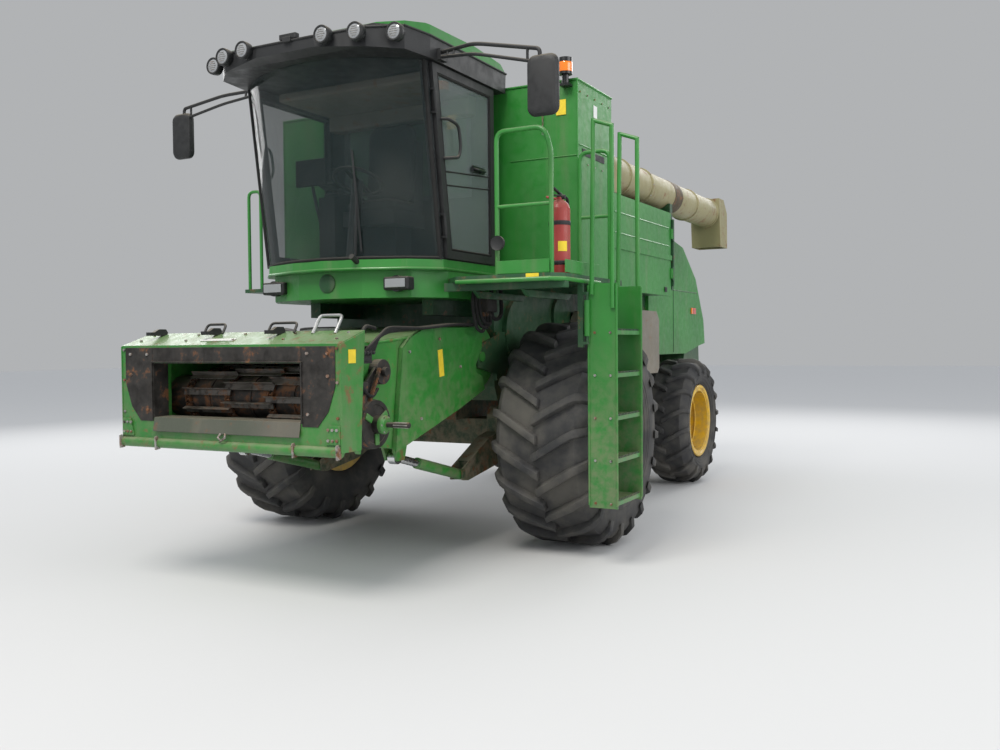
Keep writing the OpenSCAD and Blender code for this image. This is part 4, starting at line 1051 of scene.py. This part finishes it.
def extinguisher(x, y):
    """Straps, shoulder, valve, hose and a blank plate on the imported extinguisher."""
    foot = (x, y, 0)
    c = Shape()
    for z in (2.2, 2.48):
        c.lathe([(0.0765, 0.0), (0.079, 0.005), (0.079, 0.025), (0.0765, 0.03)], foot, Z, start=z)
    c.smooth("extinguisher_straps", BLACK)
    Shape().lathe([(0.0752, 2.595), (0.066, 2.625), (0.044, 2.652), (0.022, 2.664), (0.001, 2.666)],
        foot, Z).smooth("extinguisher_shoulder", RED)
    v = Shape().cyl((x, y, 2.66), (x, y, 2.7), 0.02, 16)
    v.slab((x + 0.03, y, 2.715), (0.15, 0.022, 0.012), (1, 0, 0.25))
    v.slab((x + 0.03, y, 2.69), (0.12, 0.022, 0.01), (1, 0, -0.1))
    v.cyl((x, y + 0.01, 2.68), (x, y + 0.045, 2.68), 0.016, 16)
    v.make("extinguisher_valve", BLACK, bevel=0.002)
    Shape().bent([(x - 0.02, y, 2.685), (x - 0.09, y + 0.02, 2.69), (x - 0.098, y + 0.03, 2.5),
        (x - 0.088, y + 0.03, 2.3)], 0.01, 0.08, 5).smooth("extinguisher_hose", SEAL)
    w = Shape()
    for i in range(5):
        a = radians(20 + i * 10)
        w.slab((x + 0.0762 * cos(a), y + 0.0762 * sin(a), 2.33), (0.0015, 0.0136, 0.07),
            (cos(a), sin(a), 0), (-sin(a), cos(a), 0))
    w.make("extinguisher_blank_plate", YELLOW_LABEL)


def ladder_pieces():
    """Teeth of the treads, rolled edges of the stringers and the treads' bolts."""
    body = "ladder_body"
    low, pitch = 0.47, 0.31
    treads = [low + i * pitch for i in range(5)]
    t = Shape()
    for z in treads:
        for j in range(16):
            for y in (1.866, 2.05):
                t.slab((0.395 + j * 0.03, y, z + 0.036), (0.016, 0.01, 0.014))
    t.make("tread_teeth", GREEN_DARK, body, slot="frame_paint")
    g = Shape()
    for x in (0.369, 0.883):
        for y in (1.852, 2.068):
            g.tube([(x, y, low), (x, y, 2.07)], 0.009)
    g.smooth("stringer_edges", GREEN, body)
    b = Shape()
    for side, x in ((-1, 0.3705), (1, 0.8815)):
        b.bolts([(x, y, z + 0.015) for z in treads for y in (1.9, 2.02)], (side, 0, 0))
    b.make("ladder_bolts", STEEL, body)


smooth_rails()
platform_pieces()
extinguisher(1.13, 1.74)
ladder_pieces()


# Grain tank, hoods, unloading tube and rear

TANK_FRONT = 0.252
TANK_REAR = -0.478
TANK_SIDE = 1.5
TANK_EDGE_Z = 3.75
HOOD_SIDE = 0.98
SCREEN_X = -2.3
SCREEN_Z = 2.78
SCREEN_Y = -1.052
TUBE_Y = 1.29
TUBE_Z = 3.19
SHIELD_Y = 1.488
STRAW_Y = 0.84


def tank_outside():
    """Strips, rivets and folds of the grain tank, the straps of its lids, a plate and a chain."""
    s = Shape()
    b = Shape()
    r = Shape()
    for sgn, word in SIDES:
        y = sgn * TANK_HW
        s.slab((-0.075, y + sgn * 0.002, 3.19), (0.47, 0.004, 0.055))
        for z in (3.66, 3.1):
            b.bolts([(-0.42 + k * 0.155, y, z) for k in range(5)], (0, sgn, 0), 0.008, 0.005)
        y = sgn * TANK_SIDE
        r.tube([(TANK_FRONT, y, TANK_EDGE_Z), (TANK_FRONT, y, 2.2)], 0.006)
        r.tube([(TANK_REAR, y, TANK_EDGE_Z), (TANK_FRONT, y, TANK_EDGE_Z)], 0.01)
        r.tube([(TANK_REAR, sgn * 1.502, 3.24), (TANK_FRONT, sgn * 1.502, 3.24)], 0.005)
        r.tube([(TANK_FRONT, y, 3.15), (TANK_FRONT, sgn * 0.9, 3.15)], 0.005)
        # hinges and handle of one lid
        h = Shape()
        for x in (-1.05, -0.55, 0.0):
            h.slab((x, sgn * 0.95, 3.772), (0.03, 0.2, 0.008))
        y = sgn * 0.2
        h.bent([(-0.56, y, 3.768), (-0.56, y, 3.8), (-0.4, y, 3.8), (-0.4, y, 3.768)], 0.007, 0.015, 4, 8)
        h.make(f"lid_straps_{word}", GREEN_DARK, f"tank_lid_{word}", 0.001)
    b.bolts([(0.25, 1.44 - k * 0.12, 3.7) for k in range(4)], X, 0.008, 0.005)
    s.make("tank_side_strip", BLACK, bevel=0.002)
    b.make("tank_rivets", STEEL)
    r.tube([(TANK_FRONT, side, TANK_EDGE_Z) for side in (TANK_SIDE, -TANK_SIDE)], 0.01)
    r.smooth("tank_corner_folds", GREEN)
    Shape().slab((-0.117, TANK_HW + 0.0015, 3.56), (0.075, 0.002, 0.1)).make("tank_blank_plate", WHITE)
    c = Shape().cyl((0.25, 1.2, 3.605), (0.272, 1.2, 3.605), 0.006, 8)
    for i in range(13):
        turn, other = (X, Y) if i % 2 else (Y, X)
        for off in (-0.005, 0.005):
            place = Vector((0.265, 1.2, 3.6 - i * 0.021)) + Vector(turn) * off
            c.slab(place, (0.003, 0.003, 0.024), turn, other)
    c.make("tank_chain", STEEL)


def hood_pieces():
    """Louvres on the engine hood's left side, and the round mesh of the radiator opening on the right."""
    s = Shape()
    y = HOOD_SIDE + 0.022
    for i in range(9):
        z = 2.45 + i * 0.052
        s.prism([(HOOD_SIDE, z), (y, z - 0.014), (y, z - 0.008), (HOOD_SIDE, z + 0.024)], X, -2.95, -2.35)
    s.make("hood_louvres", GREEN_DARK, bevel=0.002)
    d = Shape()
    y = HOOD_SIDE + 0.001
    for x in (-3.28, -2.2, -1.33):
        d.tube([(x, y, 2.3), (x, y, 3.28)], 0.005)
    d.tube([(-3.28, y, 3.0), (-1.33, y, 3.0)], 0.005)
    d.smooth("hood_seams", GREEN_DARK)
    y = SCREEN_Y
    centre = (SCREEN_X, 0, SCREEN_Z)
    Shape().lathe([(0.405, 0.004), (0.445, 0.004), (0.445, -0.014), (0.425, -0.02), (0.405, -0.014),
        (0.405, 0.004)], centre, Y, 72, y).smooth("screen_ring", GREEN)
    m = Shape()
    for i in range(-12, 13):
        off = i * 0.033
        reach = sqrt(max(0.0, 0.41 ** 2 - off ** 2))
        if reach > 0.05:
            for wide, high in ((0.002, reach), (reach, 0.002)):
                x, z = (SCREEN_X + off, SCREEN_Z) if high == reach else (SCREEN_X, SCREEN_Z + off)
                m.box(x - wide, x + wide, y - 0.003, y + 0.001, z - high, z + high)
    for p, out in spread(4, 0.2, (SCREEN_X, y - 0.008, SCREEN_Z), 0.4):
        m.slab(p, (0.41, 0.01, 0.03), out)
    m.lathe([(0.001, -0.02), (0.06, -0.018), (0.07, -0.004), (0.001, -0.004)], centre, start=y)
    m.make("radiator_mesh", BLACK)


def tube_pieces():
    """Dark band, clamp rings and their bolts on the unloading tube's swinging body."""
    y, z = TUBE_Y, TUBE_Z
    Shape().lathe([(0.164, 0.0), (0.168, 0.002), (0.168, 0.248), (0.164, 0.25)],
        (-2.65, y, z), X, 48).smooth("tube_dark_band", TUBE_BAND, "auger")
    r = Shape()
    for x in (-1.1, -1.7, -3.2, -4.0):
        r.lathe([(0.164, 0.0), (0.178, 0.003), (0.178, 0.017), (0.164, 0.02)], (x, y, z), X, 48)
    r.smooth("tube_rings", TUBE, "auger")
    b = Shape()
    for i in range(10):
        a = tau * i / 10
        y, z = TUBE_Y + 0.172 * cos(a), TUBE_Z + 0.172 * sin(a)
        b.cyl((-1.705, y, z), (-1.675, y, z), 0.007, 6)
    b.make("tube_ring_bolts", STEEL, "auger")


def rear_pieces():
    """Creases and latches of the side shields, seams and lamps of the straw hood, fins of the spreader."""
    s = Shape()
    h = Shape()
    for sgn, word in SIDES:
        body = f"side_shield_{word}"
        c = Shape()
        for z in (2.62, 2.8):
            c.tube([(-2.06, sgn * SHIELD_Y, z), (-0.57, sgn * SHIELD_Y, z)], 0.007)
        c.smooth(f"shield_creases_{word}", GREEN, body)
        latches = Shape()
        y0, y1 = sorted((sgn * SHIELD_Y, sgn * (SHIELD_Y + 0.012)))
        for x in (-1.95, -0.68):
            latches.box(x - 0.03, x + 0.03, y0, y1, 2.155, 2.205)
        latches.make(f"shield_latches_{word}", BLACK, body, 0.004)
        y0, y1 = sorted((sgn * STRAW_Y, sgn * (STRAW_Y + 0.014)))
        for name, x0, x1, mat in (("tail", -5.12, -5.0, RED_LENS), ("turn", -4.99, -4.93, ORANGE)):
            Shape().box(x0, x1, y0, y1, 2.02, 2.1).make(f"{name}_lamp_{word}", mat, bevel=0.004)
        y = sgn * (STRAW_Y + 0.0005)
        s.tube([(-4.2, y, 1.53), (-4.2, y, 2.88)], 0.005)
        s.tube([(-3.32, y, 2.3), (-4.2, y, 2.3), (-5.18, y, 2.3)], 0.005)
        h.bent([(-5.36, sgn * 0.3, 2.17), (-5.4, sgn * 0.3, 2.2), (-5.4, sgn * 0.12, 2.2),
            (-5.36, sgn * 0.12, 2.17)], 0.01, 0.02)
    s.tube([(-5.165, STRAW_Y - 0.01, 2.455), (-5.165, -STRAW_Y + 0.01, 2.455)], 0.006)
    s.smooth("straw_hood_seams", GREEN_DARK)
    h.smooth("rear_grabs", BLACK)
    f = Shape()
    for i in range(9):
        y = -0.72 + i * 0.18
        f.prism([(-5.33, 1.32), (-5.59, 1.225), (-5.56, 1.13), (-5.33, 1.2)], Y, y - 0.003, y + 0.003)
    f.make("spreader_fins", STEEL_DUSTY)


tank_outside()
hood_pieces()
tube_pieces()
rear_pieces()
